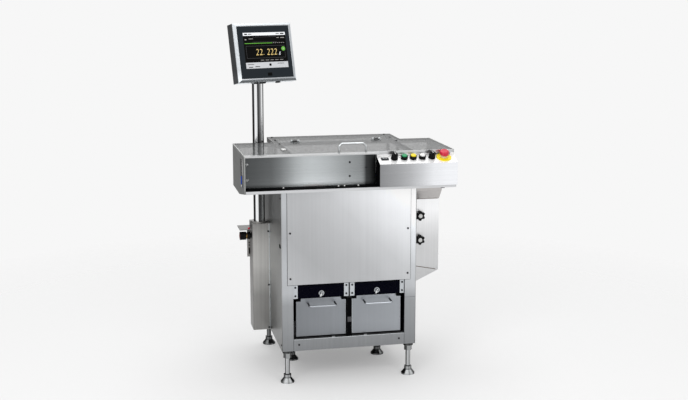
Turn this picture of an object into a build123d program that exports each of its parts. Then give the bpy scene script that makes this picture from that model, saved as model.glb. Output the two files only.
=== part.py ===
from build123d import *
import math
import os

# Checkweigher with a windshield hood, sloping button console, two reject bins and a touch panel
# on a pole. Millimetres, X to the right, Y to the back, Z up. While it is being modelled, X = 0 is
# the left side of the cabinet, Y = 0 its front and Z = 0 the floor it stands on.

# Cabinet
cabinet_width = 590.0
cabinet_depth = 600.0
cabinet_bottom = 143.0
cabinet_top = 855.0
sheet = 2.0
tube = 48.0
tube_wall = 3.0
rail_height = 51.0
middle_rail_height = 40.0
middle_rail_depth = 30.0
rail_clip_offset = 70.5
rail_clip = (14.0, 8.0, 5.0)

# Front access panel, and the row of openings under it
front_panel_side_gap = 26.0
front_panel_bottom = 435.0
front_panel_top_gap = 2.0

# Reject bins
bin_side_clearance = 14.25
bin_gap = 26.5
bin_front_y = 15.0
bin_front_bottom = 202.0
bin_front_top = 369.5
bin_side_inset = 6.0
bin_box_bottom = 206.0
bin_box_top = 335.0
bin_box_back = 285.0
bin_wall = 1.5
bin_travel = 170.0
slide_bar = (5.0, 12.0)
slide_bar_z = 236.0
slide_gap = 0.3
runner_width = 12.0
runner_top = 262.0
runner_front = 52.0
pan_front = 10.0
bin_handle_span = 116.0
bin_handle_reach = 50.0
bin_handle_z = 350.0
bin_handle_droop = 4.0
handle_wire = 4.0

# Smoked windows over the bins, with a cam lock in each
window_z = (373.0, 434.0)
window_y = (8.0, 12.0)
window_inset = 3.75
bracket_thickness = 3.0
bracket_width = 20.0
bracket_tab = 22.0
post_half_width = 10.0
post_depth = 50.0
lock_z = 393.0
lock_flange_radius = 12.0
lock_flange_depth = 6.0
lock_barrel_radius = 9.0
lock_barrel_length = 16.0
lock_plug_radius = 7.0
lock_plug_proud = 2.0
cam_length = 32.0
cam_width = 10.0
cam_thickness = 2.0
running_gap = 0.05

# Levelling feet
foot_pad_radius = 30.0
foot_pad_edge = 6.0
foot_pad_top = 22.0
foot_collar_radius = 16.5
foot_collar_top = 36.0
foot_stem_radius = 10.5
foot_nut_across = 30.0
foot_nut_z = (109.0, 132.0)
foot_socket_radius = 22.0
foot_stem_engagement = 7.0
middle_foot_inset = 94.0
middle_foot_y = 320.0

# Hood over the conveyor lane: a T in plan, with a wide front and a narrower back
hood_overhang_left = 158.7
hood_overhang_right = 157.0
hood_back = 347.0
hood_top = 1002.0
wing_left = 20.0
wing_overhang = 14.0
wing_back = 530.0
end_thickness = 4.0
end_front = -60.0
end_bottom = 816.0
end_front_bottom = 845.0
end_rise_y = 120.0
rim_front = -20.0
rim_right_bottom = 988.0
floor_front = -70.0
floor_top = 858.0
floor_thickness = 3.0
floor_flange = 9.0
slot_y = (-5.0, 61.0)
slot_top = 978.0
ledge_thickness = 6.0
rim_height = 20.0
acrylic = 4.0
shelf_thickness = 6.0
cover_y = -2.0
cover_bottom = 860.0
cover_top = 990.0
cover_console_gap = 0.6
strip_thickness = 3.0
bar_depth = 14.0
bar_width = 16.0
roof_seam_offset = 6.0
corner_post = 12.0
panel_gap = 0.3

# Hinged lid in the roof
lid_inset = (27.0, 38.0)
lid_front = -16.5
lid_back = 344.0
rear_roof_front = 352.0
hinge_y = 348.0
hinge_height = 4.5
hinge_radius = 4.0
hinge_pin_radius = 2.0
hinge_inset = 73.0
hinge_fixed_half = 10.0
hinge_outer_half = 20.0
hinge_leaf_depth = 25.0
hinge_leaf_thickness = 2.0
lid_handle_offset = -1.5
lid_handle_half = 58.0
lid_handle_y = -11.0
lid_handle_height = 36.0
lid_handle_corner = 12.0

# Conveyors, in a lane straight behind the front cover
lane_y = (1.0, 61.0)
belt_y = (4.0, 58.0)
belt_top = 895.0
belt_radius = 14.0
belt_thickness = 1.7
roller_gap = 0.3
roller_shaft_radius = 4.0
side_plate = 2.0
side_plate_bottom = 866.0
side_plate_top = 890.0
bed_thickness = 6.3
infeed_end_gap = 4.7
outfeed_end_gap = 5.0
transfer_gap = 8.0
weigh_inset = 280.0
weigh_length = 180.0
conveyor_leg_inset = 30.0
conveyor_leg_width = 20.0
motor_radius = 17.0
motor_length = 85.0
nozzle_size = (50.0, 3.5, 18.0)
nozzle_bottom = 900.0
nozzle_hole_radius = 1.5
rail_radius = 3.0
rail_z = 915.0
rail_post_inset = 40.0

# Weighing
column_offset = (-20.0, 50.0)
arm_y_front = 160.0
arm_z = (700.0, 730.0)
cell_offset = (-3.0, 33.0)
cell_y = (70.0, 200.0)
cell_height = 36.0
cell_spacer = 6.0
cell_pad = 30.0
cell_hole_radius = 9.0
platform_thickness = 6.0
platform_y = (66.0, 140.0)
platform_post_radius = 6.0
carrier_z = (860.0, 864.0)
carrier_back = 125.0
carrier_inset = 20.0
platform_post_inset = (15.0, 14.0, 8.0)

# Reject chutes inside the cabinet
chute_y = (66.0, 200.0)
chute_width = 84.0
chute_gap = 12.0
chute_inset = 54.0
chute_landing = (45.0, 27.0)
chute_bottom = 445.0
chute_wall = 1.5

# Side chute on the right of the cabinet
side_chute_width = 130.0
side_chute_y = (100.0, 330.0)
side_chute_top = 767.0
side_chute_low_right = 445.0
side_chute_low_left = 383.0
side_chute_tongue = 85.0
side_chute_mouth_height = 102.0
throat_front = 60.0
throat_break_z = 811.0
clamp_offset = (25.0, 52.0)
clamp_z = (566.0, 716.0)
knob_offset = 40.0
knob_z = (587.0, 695.0)
star_knob_radius = 22.5
star_knob_depth = 21.0
star_knob_lobes = 6
stud_radius = 4.0

# Console
console_width = 338.4
console_front = -78.0
console_back = -4.0
console_front_top = 955.0
console_slope = 22.0
control_y = -40.0
button_offsets = (113.4, 152.4, 192.4)
selector_offsets = (70.4, 234.4)
e_stop_offset = 287.4
counter_offset = 29.4
counter_size = (32.0, 19.0, 3.0)
bezel_radius = 15.0
bezel_height = 14.0
neck_radius = 11.0
neck_length = 20.0
cap_radius = 12.0
cap_proud = 5.0
button_travel = 4.0
selector_base = 6.0
selector_radius = 14.0
selector_height = 18.0
selector_grip = (9.0, 6.0)
e_stop_plate_radius = 32.0
e_stop_plate_thickness = 3.0
e_stop_collar_radius = 14.0
e_stop_collar_height = 9.0
e_stop_stem_radius = 6.0
e_stop_head_radius = 20.0
e_stop_head_bottom = 17.0
e_stop_head_height = 16.0
e_stop_travel = 4.0

# Service box on the left, and the pole that stands on it
box_left = -78.0
box_y = (335.0, 436.0)
box_bottom = 144.0
box_top = 637.0
shelf_left = -134.0
shelf_z = 611.0
strip_left = -90.0
strip_z = (465.0, 590.0)
valve_y = 372.0
valve_z = 577.0
valve_gland = (11.0, 6.0)
valve_barrel = (17.0, 14.0)
valve_neck = (9.0, 4.0)
valve_knob = (18.5, 28.0)
valve_stem_radius = 4.0
pole_radius = 25.4
pole_wall = 2.0
pole_x = -39.0
pole_top = 1310.0
pole_flange = (40.0, 6.0)

# Touch panel, measured from the middle of its glass
panel_turn = 21.0
panel_tilt = 12.0
panel_reach = 80.0
panel_z = 1405.0
panel_width = 290.0
panel_height = 258.0
panel_depth = 58.0
bezel_depth = 13.0
bezel_lip = 11.0
glass_width = 264.0
glass_height = 236.0
glass_thickness = 4.0
glass_seat = 7.0
screen_width = 211.0
screen_height = 158.0
screen_raise = 8.0
screen_thickness = 0.8
panel_wall = 2.5
pivot_reach = 12.0
pivot_z = 1340.0
pivot_pin_radius = 5.0
ear_thickness = 6.0
ear_radius = 12.0
fork_half_width = 14.0
fork_half_depth = 10.0
fork_rise = 12.0
sleeve_wall = 3.6
sleeve_bottom = 1272.0
sleeve_cap = 8.0
swivel_gap = 0.1

# Button-head screws
screw_radius = 4.5
screw_height = 2.5
screw_socket = 2.3
screw_socket_depth = 1.2
front_screw_inset = 12.0
front_screw_rise = (28.0, 226.0)
rail_screw_inset = 74.0
rail_screw_rise = 27.0
bracket_screw_inset = 12.0
cover_screw_inset = 13.0
cover_screw_rise = (38.0, 97.0)
cover_end_screw = (42.5, 73.0)
box_screw_x = -6.0
box_screw_rise = (9.0, 209.0, 457.0)
skin_screw_inset = 12.0
skin_screw_rise = (26.0, 456.0, 667.0)
rear_screw_inset = 20.0
rear_screw_rise = (26.0, 356.0, 687.0)
roof_screw_y = (284.0, 406.0, 512.0)

# Places that several pieces share
middle_x = cabinet_width / 2
leg_inner = sheet + tube
bin_width = (cabinet_width - 2 * leg_inner - bin_gap) / 2 - bin_side_clearance
window_half_width = bin_width / 2 - window_inset
bin_centres = (middle_x - (bin_gap + bin_width) / 2, middle_x + (bin_gap + bin_width) / 2)
rail_top = cabinet_bottom + rail_height
pan_top = rail_top + sheet
inner_back = cabinet_depth - sheet
roof_bottom = hood_top - acrylic
floor_bottom = floor_top - floor_thickness
belt_axis_z = belt_top - belt_radius
roller_radius = belt_radius - belt_thickness - roller_gap
hood_left = -hood_overhang_left
hood_right = cabinet_width + hood_overhang_right
hood_inner_left = hood_left + end_thickness
hood_inner_right = hood_right - end_thickness
wing_right = cabinet_width + wing_overhang
lid_left = wing_left + lid_inset[0]
lid_right = wing_right - lid_inset[1]
hinge_positions = (lid_left + hinge_inset, lid_right - hinge_inset)
lid_handle_middle = (lid_left + lid_right) / 2 + lid_handle_offset
console_left = hood_right - console_width
cover_right = console_left - cover_console_gap
green_x, yellow_x, white_x = [console_left + offset for offset in button_offsets]
selector_left_x, selector_right_x = [console_left + offset for offset in selector_offsets]
e_stop_x = console_left + e_stop_offset
counter_x = console_left + counter_offset
weigh_x = (cabinet_width - weigh_inset - weigh_length, cabinet_width - weigh_inset)
infeed_x = (hood_inner_left + infeed_end_gap, weigh_x[0] - transfer_gap)
outfeed_x = (weigh_x[1] + transfer_gap, hood_inner_right - outfeed_end_gap)
weigh_middle = sum(weigh_x) / 2
column_x = (weigh_middle + column_offset[0], weigh_middle + column_offset[1])
cell_x = (weigh_middle + cell_offset[0], weigh_middle + cell_offset[1])
chute_right_x = (cabinet_width - chute_inset - chute_width, cabinet_width - chute_inset)
chute_left_x = (chute_right_x[0] - chute_gap - chute_width, chute_right_x[0] - chute_gap)
side_chute_x = cabinet_width + side_chute_width
side_chute_tongue_x = cabinet_width - side_chute_tongue
clamp_x = (cabinet_width + clamp_offset[0], cabinet_width + clamp_offset[1])
knob_x = cabinet_width + knob_offset
pole_y = sum(box_y) / 2
hinge_z = hood_top + hinge_height
cell_bottom = arm_z[1] + cell_spacer
cell_top = cell_bottom + cell_height
platform_bottom = cell_top + cell_spacer
platform_top = platform_bottom + platform_thickness
platform_x = (weigh_x[0] + carrier_inset, weigh_x[1] - carrier_inset)
side_chute_slope = (side_chute_low_right - side_chute_low_left) / side_chute_width
console_top = console_front_top + (console_back - console_front) * math.tan(math.radians(console_slope))
control_z = console_front_top + (control_y - console_front) * math.tan(math.radians(console_slope))
foot_places = {
    "front_left": (sheet + tube / 2, tube / 2),
    "front_right": (cabinet_width - sheet - tube / 2, tube / 2),
    "middle_left": (middle_foot_inset, middle_foot_y),
    "middle_right": (cabinet_width - middle_foot_inset, middle_foot_y),
    "rear_left": (sheet + tube / 2, inner_back - tube / 2),
    "rear_right": (cabinet_width - sheet - tube / 2, inner_back - tube / 2),
}


def block(x, y, z):
    """Box between (low, high) pairs along X, Y and Z."""
    pairs = (x, y, z)
    middle = [(low + high) / 2 for low, high in pairs]
    size = [high - low for low, high in pairs]
    return Pos(*middle) * Box(*size)


def about(centre, half):
    """(low, high) pair round a centre."""
    return (centre - half, centre + half)


def rod_x(x, y, z, radius):
    return Pos((x[0] + x[1]) / 2, y, z) * Rot(0, 90, 0) * Cylinder(radius, x[1] - x[0])


def rod_y(x, y, z, radius):
    return Pos(x, (y[0] + y[1]) / 2, z) * Rot(90, 0, 0) * Cylinder(radius, y[1] - y[0])


def rod_z(x, y, z, radius):
    return Pos(x, y, (z[0] + z[1]) / 2) * Cylinder(radius, z[1] - z[0])


def prism_x(outline, x):
    """Outline of (y, z) points, extruded from x[0] to x[1]."""
    face = make_face(Polyline(*[(x[0], y, z) for y, z in outline], close=True))
    return extrude(face, amount=x[1] - x[0], dir=(1, 0, 0))


def prism_y(outline, y):
    """Outline of (x, z) points, extruded from y[0] to y[1]."""
    face = make_face(Polyline(*[(x, y[0], z) for x, z in outline], close=True))
    return extrude(face, amount=y[1] - y[0], dir=(0, 1, 0))


def prism_z(outline, z):
    """Outline of (x, y) points, extruded from z[0] to z[1]."""
    face = make_face(Polyline(*[(x, y, z[0]) for x, y in outline], close=True))
    return extrude(face, amount=z[1] - z[0], dir=(0, 0, 1))


def wire_handle(points, bend, radius):
    """Round bar bent along a path of points."""
    path = FilletPolyline(*points, radius=bend)
    section = Plane(origin=path @ 0, z_dir=path % 0) * Circle(radius)
    return sweep(section, path=path)


def group(*pieces):
    """Several separate solids that share one node."""
    return Compound([solid for piece in pieces for solid in piece.solids()])


def square_tubes():
    """Outer bars of the welded frame and the hollows inside them, as (x, y, z) ranges."""
    left, right = (sheet, leg_inner), (cabinet_width - leg_inner, cabinet_width - sheet)
    front, back = (0, tube), (inner_back - tube, inner_back)
    low = (cabinet_bottom, rail_top)
    high = (cabinet_top - tube, cabinet_top)
    across = (leg_inner, cabinet_width - leg_inner)
    along = (tube, inner_back - tube)
    legs = [(x, y, (cabinet_bottom, cabinet_top)) for x in (left, right) for y in (front, back)]
    cross_bars = [(across, y, z) for y in (front, back) for z in (low, high)]
    cross_bars.append((across, about(middle_foot_y, tube / 2), low))
    side_bars = [(x, along, z) for x in (left, right) for z in (low, high)]
    return legs, cross_bars, side_bars


def inside(limits):
    return (limits[0] + tube_wall, limits[1] - tube_wall)


def through(limits):
    """Range that breaks through the walls of the tubes at both ends."""
    return (limits[0] - tube_wall - 1, limits[1] + tube_wall + 1)


def cabinet_frame():
    """Welded square tube: legs, rails, middle rail over the bins and the post between them."""
    legs, cross_bars, side_bars = square_tubes()
    frame = Part()
    for bar in legs + cross_bars + side_bars:
        frame += block(*bar)
    for x, y, z in legs:
        frame -= block(inside(x), inside(y), (z[0] - 1, z[1] - tube_wall))
    for x, y, z in cross_bars[:-1]:
        frame -= block(through(x), inside(y), inside(z))
    beam_x, beam_y, beam_z = cross_bars[-1]
    frame -= block(inside(beam_x), inside(beam_y), inside(beam_z))
    for x, y, z in side_bars:
        frame -= block(inside(x), through(y), inside(z))
    middle_z = (front_panel_bottom, front_panel_bottom + middle_rail_height)
    frame += block((leg_inner, cabinet_width - leg_inner), (0, middle_rail_depth), middle_z)
    frame += block(about(middle_x, post_half_width), (window_y[0], post_depth), (rail_top, middle_z[0]))
    for side in (-1, 1):
        clip_x = about(middle_x + side * rail_clip_offset, rail_clip[0] / 2)
        frame += block(clip_x, (0, rail_clip[1]), (rail_top, rail_top + rail_clip[2]))
    for x, y in foot_places.values():
        frame -= rod_z(x, y, (cabinet_bottom - 1, cabinet_bottom + tube_wall + 1), foot_stem_radius + 1)
    return frame


def front_panel():
    x = (front_panel_side_gap, cabinet_width - front_panel_side_gap)
    return block(x, (-sheet, 0), (front_panel_bottom, cabinet_top - front_panel_top_gap))


def cabinet_panels():
    """Left, right and rear skins. The right one has the mouth of the side chute."""
    z = (cabinet_bottom, cabinet_top)
    left = block((0, sheet), (0, inner_back), z)
    right = block((cabinet_width - sheet, cabinet_width), (0, inner_back), z)
    mouth_y = (side_chute_y[0] + sheet, side_chute_y[1] - sheet)
    mouth_low = side_chute_low_left - 2 * sheet
    mouth_z = (mouth_low, mouth_low + 2 * sheet + side_chute_mouth_height)
    right -= block((cabinet_width - 2 * sheet, cabinet_width + 1), mouth_y, mouth_z)
    rear = block((0, cabinet_width), (inner_back, cabinet_depth), z)
    return group(left, right, rear)


def bin_box_x(centre):
    half = bin_width / 2 - bin_side_inset
    return (centre - half, centre + half)


def reject_bin(centre):
    """Sheet drawer on side bars, with a bent bar handle."""
    low, high = bin_box_x(centre)
    box_z = (bin_box_bottom, bin_box_top)
    front_y = (bin_front_y, bin_front_y + sheet)
    front = block(about(centre, bin_width / 2), front_y, (bin_front_bottom, bin_front_top))
    box = block((low, high), (front_y[1], bin_box_back), box_z)
    box -= block((low + bin_wall, high - bin_wall), (front_y[1], bin_box_back - bin_wall),
                 (bin_box_bottom + bin_wall, bin_box_top + 1))
    body = front + box
    for x in ((low - slide_bar[0], low), (high, high + slide_bar[0])):
        body += block(x, (runner_front + 8, bin_box_back - 5), about(slide_bar_z, slide_bar[1] / 2))
    half, out = bin_handle_span / 2, bin_front_y - bin_handle_reach
    points = [(centre - half, front_y[1], bin_handle_z),
              (centre - half, out, bin_handle_z - bin_handle_droop),
              (centre + half, out, bin_handle_z - bin_handle_droop),
              (centre + half, front_y[1], bin_handle_z)]
    handle = wire_handle(points, 3 * handle_wire, handle_wire)
    return group(body, handle - front)


def bin_runners():
    """Base pan with four grooved runner walls."""
    pan = block((leg_inner, cabinet_width - leg_inner), (pan_front, inner_back), (rail_top, pan_top))
    column = block(about(sum(column_x) / 2, (column_x[1] - column_x[0]) / 2 + sheet),
                   about(middle_foot_y, tube / 2 + sheet), (rail_top - 1, pan_top + 1))
    post = block(about(middle_x, post_half_width), (pan_front - 1, post_depth), (rail_top - 1, pan_top + 1))
    shape = pan - column - post
    for centre in bin_centres:
        low, high = bin_box_x(centre)
        for edge, side in ((low, -1), (high, 1)):
            near, far = edge + side * slide_gap, edge + side * (slide_gap + runner_width)
            wall = block(sorted((near, far)), (runner_front, bin_box_back), (pan_top, runner_top))
            groove_end = edge + side * (slide_bar[0] + slide_gap)
            groove = block(sorted((edge, groove_end)), (runner_front - 1, bin_box_back - 4),
                           about(slide_bar_z, slide_bar[1] / 2 + slide_gap))
            shape += wall - groove
    return shape


def bin_windows():
    panes = []
    for centre in bin_centres:
        pane = block(about(centre, window_half_width), window_y, window_z)
        pane -= rod_y(centre, (window_y[0] - 1, window_y[1] + 1), lock_z, lock_barrel_radius + running_gap)
        panes.append(pane)
    return group(*panes)


def bracket_places():
    """(low, high, outer side) of each bracket, where side is -1 or 1 at a leg and 0 at the post."""
    places = []
    for centre, outer in zip(bin_centres, (-1, 1)):
        leg_face = leg_inner if outer < 0 else cabinet_width - leg_inner
        places.append((*sorted((leg_face, leg_face - outer * bracket_width)), outer))
        inner = middle_x + outer * (post_half_width - 7)
        places.append((*sorted((inner, inner + outer * bracket_width)), 0))
    return places


def window_brackets():
    """Strips that clamp the panes, and the fixed bodies of the cam locks."""
    pieces = []
    front = window_y[0] - bracket_thickness
    for low, high, outer in bracket_places():
        strip = block((low, high), (front, window_y[0]), window_z)
        if outer:
            face = low if outer < 0 else high
            tab_x = sorted((face, face - outer * sheet))
            strip += block(tab_x, (window_y[0], bracket_tab), window_z)
        pieces.append(strip)
    for centre in bin_centres:
        lock = rod_y(centre, (window_y[0] - lock_flange_depth, window_y[0]), lock_z, lock_flange_radius)
        lock += rod_y(centre, (window_y[0], window_y[0] + lock_barrel_length), lock_z, lock_barrel_radius)
        bore = (window_y[0] - lock_flange_depth - 1, window_y[0] + lock_barrel_length + 1)
        pieces.append(lock - rod_y(centre, bore, lock_z, lock_plug_radius + running_gap))
    return group(*pieces)


def bin_lock(centre):
    """Turning plug with its cam, which points sideways when the bin is free."""
    front = window_y[0] - lock_flange_depth - lock_plug_proud
    back = window_y[0] + lock_barrel_length + slide_gap
    plug = rod_y(centre, (front, back), lock_z, lock_plug_radius)
    plug -= block(about(centre, 1), (front - 1, front + 1.5), about(lock_z, 4.5))
    cam = block((centre - cam_width / 2, centre + cam_length), (back, back + cam_thickness),
                about(lock_z, cam_width / 2))
    return plug + cam


def foot(x, y):
    """Round pad, collar and levelling stem."""
    pad = rod_z(x, y, (0, foot_pad_edge), foot_pad_radius)
    dome_height = foot_pad_top - foot_pad_edge
    dome = Pos(x, y, foot_pad_edge + dome_height / 2) * Cone(foot_pad_radius, foot_collar_radius, dome_height)
    collar = rod_z(x, y, (foot_pad_top, foot_collar_top), foot_collar_radius)
    stem = rod_z(x, y, (foot_collar_top, cabinet_bottom + foot_stem_engagement), foot_stem_radius)
    return pad + dome + collar + stem


def foot_locknuts():
    """Hexagon locknut and round socket on each stem."""
    pieces = []
    for x, y in foot_places.values():
        nut = extrude(Pos(x, y, foot_nut_z[0]) * RegularPolygon(foot_nut_across / 2, 6, major_radius=False),
                      amount=foot_nut_z[1] - foot_nut_z[0])
        socket = rod_z(x, y, (foot_nut_z[1], cabinet_bottom), foot_socket_radius)
        bore = rod_z(x, y, (foot_nut_z[0] - 1, cabinet_bottom + 1), foot_stem_radius + running_gap)
        pieces += [nut - bore, socket - bore]
    return group(*pieces)


def weigh_pedestal():
    """Column on the middle cross bar, with an arm that carries the load cell."""
    column = block(column_x, about(middle_foot_y, tube / 2), (rail_top, arm_z[1]))
    return column + block(column_x, (arm_y_front, middle_foot_y), arm_z)


def load_cell():
    """Bending beam with a double-hole waist, a pad under its back and one on its front."""
    cell = block(cell_x, cell_y, (cell_bottom, cell_top))
    middle_y, middle_z = sum(cell_y) / 2, (cell_bottom + cell_top) / 2
    cross = (cell_x[0] - 1, cell_x[1] + 1)
    for side in (-1, 1):
        cell -= rod_x(cross, middle_y + side * 2 * cell_hole_radius, middle_z, cell_hole_radius)
    cell -= block(cross, about(middle_y, 2 * cell_hole_radius), about(middle_z, cell_hole_radius / 3))
    cell += block(cell_x, (cell_y[1] - cell_pad, cell_y[1]), (arm_z[1], cell_bottom))
    cell += block(cell_x, (cell_y[0], cell_y[0] + cell_pad), (cell_top, platform_bottom))
    return cell


def sloping_duct(x, landing):
    """Open-ended duct from the hood floor that leans until its lower end is centred on landing."""
    def outline(inset, over):
        lean = (landing - sum(x) / 2) / (floor_bottom - chute_bottom)
        top, low = floor_bottom + over, chute_bottom - over
        drop = floor_bottom - low
        rise = floor_bottom - top
        return [(x[0] + inset + lean * rise, top), (x[1] - inset + lean * rise, top),
                (x[1] - inset + lean * drop, low), (x[0] + inset + lean * drop, low)]
    outer = prism_y(outline(0, 0), chute_y)
    return outer - prism_y(outline(chute_wall, 1), (chute_y[0] + chute_wall, chute_y[1] - chute_wall))


def reject_chutes():
    landings = [centre + offset for centre, offset in zip(bin_centres, chute_landing)]
    return group(sloping_duct(chute_left_x, landings[0]), sloping_duct(chute_right_x, landings[1]))


def hood_floor():
    """Bottom sheet of the hood, with a turned-down edge where it overhangs the cabinet."""
    plate = prism_z([(hood_inner_left, floor_front), (hood_inner_right, floor_front),
                     (hood_inner_right, hood_back), (wing_right, hood_back), (wing_right, wing_back),
                     (cabinet_width, wing_back), (cabinet_width, cabinet_depth), (0, cabinet_depth),
                     (0, hood_back), (hood_inner_left, hood_back)], (floor_bottom, floor_top))
    low = (floor_bottom - floor_flange, floor_bottom)
    back_y = (hood_back - floor_thickness, hood_back)
    plate += block((hood_inner_left, hood_inner_right), (floor_front, floor_front + floor_thickness), low)
    plate += block((hood_inner_left, hood_inner_left + floor_thickness), (floor_front, hood_back), low)
    plate += block((hood_inner_right - floor_thickness, hood_inner_right), (floor_front, hood_back), low)
    plate += block((hood_inner_left, -sheet), back_y, low)
    plate += block((side_chute_x + sheet, hood_inner_right), back_y, low)
    cut_z = (floor_bottom - 1, floor_top + 1)
    for x in (chute_left_x, chute_right_x):
        plate -= block((x[0] + chute_wall, x[1] - chute_wall),
                       (chute_y[0] + chute_wall, chute_y[1] - chute_wall), cut_z)
    plate -= block(platform_x, (platform_y[0], platform_y[1]), cut_z)
    plate -= block((cabinet_width + 10, side_chute_x - 2 * sheet),
                   (chute_y[0], side_chute_y[1] - 2 * sheet), cut_z)
    return plate


def hood_ends():
    """End plates with the product slots. The right one stands behind the console."""
    tail = [(end_front, end_front_bottom), (end_rise_y, end_bottom),
            (hood_back, end_bottom), (hood_back, hood_top)]
    left = prism_x([(end_front, hood_top)] + tail, (hood_left, hood_inner_left))
    right = prism_x([(rim_front, hood_top), (rim_front, rim_right_bottom), (console_back, rim_right_bottom),
                     (console_back, floor_top), (end_front, floor_top)] + tail,
                    (hood_inner_right, hood_right))
    slot = block((hood_left - 1, hood_right + 1), slot_y, (floor_top, slot_top))
    return group(left - slot, right - slot)


def front_cover():
    return block((hood_inner_left + panel_gap, cover_right), (cover_y, 0), (cover_bottom, cover_top))


def rim_outline():
    """(x, y) ranges of the back walls of the T, each one pane thick."""
    return [((hood_inner_left, wing_left), (hood_back - acrylic, hood_back)),
            ((wing_left, wing_left + acrylic), (hood_back, wing_back)),
            ((wing_left + acrylic, wing_right - acrylic), (wing_back - acrylic, wing_back)),
            ((wing_right - acrylic, wing_right), (hood_back, wing_back)),
            ((wing_right, hood_inner_right), (hood_back - acrylic, hood_back))]


def hood_frame():
    """Front ledge, rim over the back walls, cross bars, corner posts and inner guard."""
    rim_z = (hood_top - rim_height, hood_top)
    bar_z = (roof_bottom - bar_depth, roof_bottom)
    shelf_z_range = (roof_bottom - shelf_thickness, roof_bottom)
    lane_front = lane_y[0] + side_plate
    frame = block((hood_inner_left, console_left), (end_front, rim_front),
                  (hood_top - ledge_thickness, hood_top))
    frame += block((console_left - strip_thickness, hood_inner_right),
                   (rim_front, rim_front + strip_thickness), (rim_right_bottom, hood_top))
    frame += block((hood_inner_left, hood_inner_right), (rim_front, lane_front), shelf_z_range)
    frame += block((hood_inner_left, cover_right), (0, lane_front), (slot_top, roof_bottom))
    frame += block((cover_right + sheet, hood_inner_right), (cover_y, 0), (floor_top, roof_bottom))
    for x, y in rim_outline():
        frame += block(x, y, rim_z)
    for low, high in ((wing_left, wing_left + acrylic), (wing_right - acrylic, wing_right)):
        frame += block((low, high), (hood_back - acrylic, hood_back), rim_z)
    bar_left = (lid_left - panel_gap - bar_width + 5, lid_left + 5)
    bar_right = (lid_right - 5, lid_right + panel_gap + bar_width - 5)
    for bar_x in (bar_left, bar_right):
        frame += block(bar_x, (lane_front, wing_back - acrylic), bar_z)
    frame += block((bar_left[1], bar_right[0]), (hood_back - acrylic, hood_back + 2 * acrylic), bar_z)
    post_z = (floor_top, roof_bottom)
    inner, back = wing_left + acrylic, wing_back - acrylic
    posts = [(hood_inner_left, hood_back - acrylic - corner_post),
             (hood_inner_right - corner_post, hood_back - acrylic - corner_post),
             (inner, hood_back - corner_post), (wing_right - acrylic - corner_post, hood_back - corner_post),
             (inner, back - corner_post), (wing_right - acrylic - corner_post, back - corner_post)]
    for x, y in posts:
        frame += block((x, x + corner_post), (y, y + corner_post), post_z)
    return frame


def windshield():
    """Back panes and the fixed roof panes."""
    wall_z = (floor_top, hood_top - rim_height)
    roof_z = (roof_bottom, hood_top)
    panes = [block(x, y, wall_z) for x, y in rim_outline()]
    wall_front, back = hood_back - acrylic, wing_back - acrylic
    left = block((hood_inner_left, lid_left - panel_gap), (rim_front, wall_front), roof_z)
    left += block((wing_left + acrylic, lid_left - panel_gap), (wall_front, back), roof_z)
    right = block((lid_right + panel_gap, hood_inner_right),
                  (rim_front + strip_thickness, wall_front), roof_z)
    right += block((lid_right + panel_gap, wing_right - acrylic), (wall_front, back), roof_z)
    rear = block((lid_left, lid_right), (rear_roof_front, back), roof_z)
    return group(*panes, left, right, rear)


def lid():
    return block((lid_left, lid_right), (lid_front, lid_back), (roof_bottom, hood_top))


def leaf_z():
    return (hood_top, hood_top + hinge_leaf_thickness)


def lid_fittings():
    """Wire handle and the moving hinge leaves."""
    left, right = about(lid_handle_middle, lid_handle_half)
    high = hood_top + lid_handle_height
    low_bend = high - lid_handle_corner
    points = [(left, lid_handle_y, hood_top), (left, lid_handle_y, low_bend),
              (left + lid_handle_corner, lid_handle_y, high), (right - lid_handle_corner, lid_handle_y, high),
              (right, lid_handle_y, low_bend), (right, lid_handle_y, hood_top)]
    pieces = [wire_handle(points, handle_wire, handle_wire)]
    for centre in hinge_positions:
        for side in (-1, 1):
            near = centre + side * (hinge_fixed_half + slide_gap)
            x = sorted((near, centre + side * hinge_outer_half))
            leaf = block(x, (hinge_y - hinge_leaf_depth, hinge_y), leaf_z()) + rod_x(x, hinge_y, hinge_z,
                                                                                   hinge_radius)
            bore = rod_x((x[0] - 1, x[1] + 1), hinge_y, hinge_z, hinge_pin_radius + running_gap)
            pieces.append(leaf - bore)
    return group(*pieces)


def lid_hinges():
    """Fixed hinge leaves with their pins."""
    pieces = []
    for centre in hinge_positions:
        x = about(centre, hinge_fixed_half)
        leaf = block(x, (hinge_y, hinge_y + hinge_leaf_depth), leaf_z()) + rod_x(x, hinge_y, hinge_z,
                                                                               hinge_radius)
        pieces.append(leaf + rod_x(about(centre, hinge_outer_half), hinge_y, hinge_z, hinge_pin_radius))
    return group(*pieces)


def roller_places(x):
    return (x[0] + belt_radius, x[1] - belt_radius)


def conveyor_frame(x, bottom):
    """Two side plates with shaft bores, and the slider bed inside the belt."""
    frame = Part()
    for low in (lane_y[0], lane_y[1] - side_plate):
        plate = block((x[0] + 2, x[1] - 2), (low, low + side_plate), (bottom, side_plate_top))
        for axis_x in roller_places(x):
            plate -= rod_y(axis_x, (low - 1, low + side_plate + 1), belt_axis_z,
                           roller_shaft_radius + running_gap)
        frame += plate
    bed_top = belt_axis_z + belt_radius - belt_thickness
    return frame + block((x[0] + 2 * belt_radius, x[1] - 2 * belt_radius),
                         (lane_y[0] + side_plate, lane_y[1] - side_plate), (bed_top - bed_thickness, bed_top))


def drive_motor(axis_x):
    return rod_y(axis_x, (lane_y[1], lane_y[1] + motor_length), belt_axis_z, motor_radius)


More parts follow.
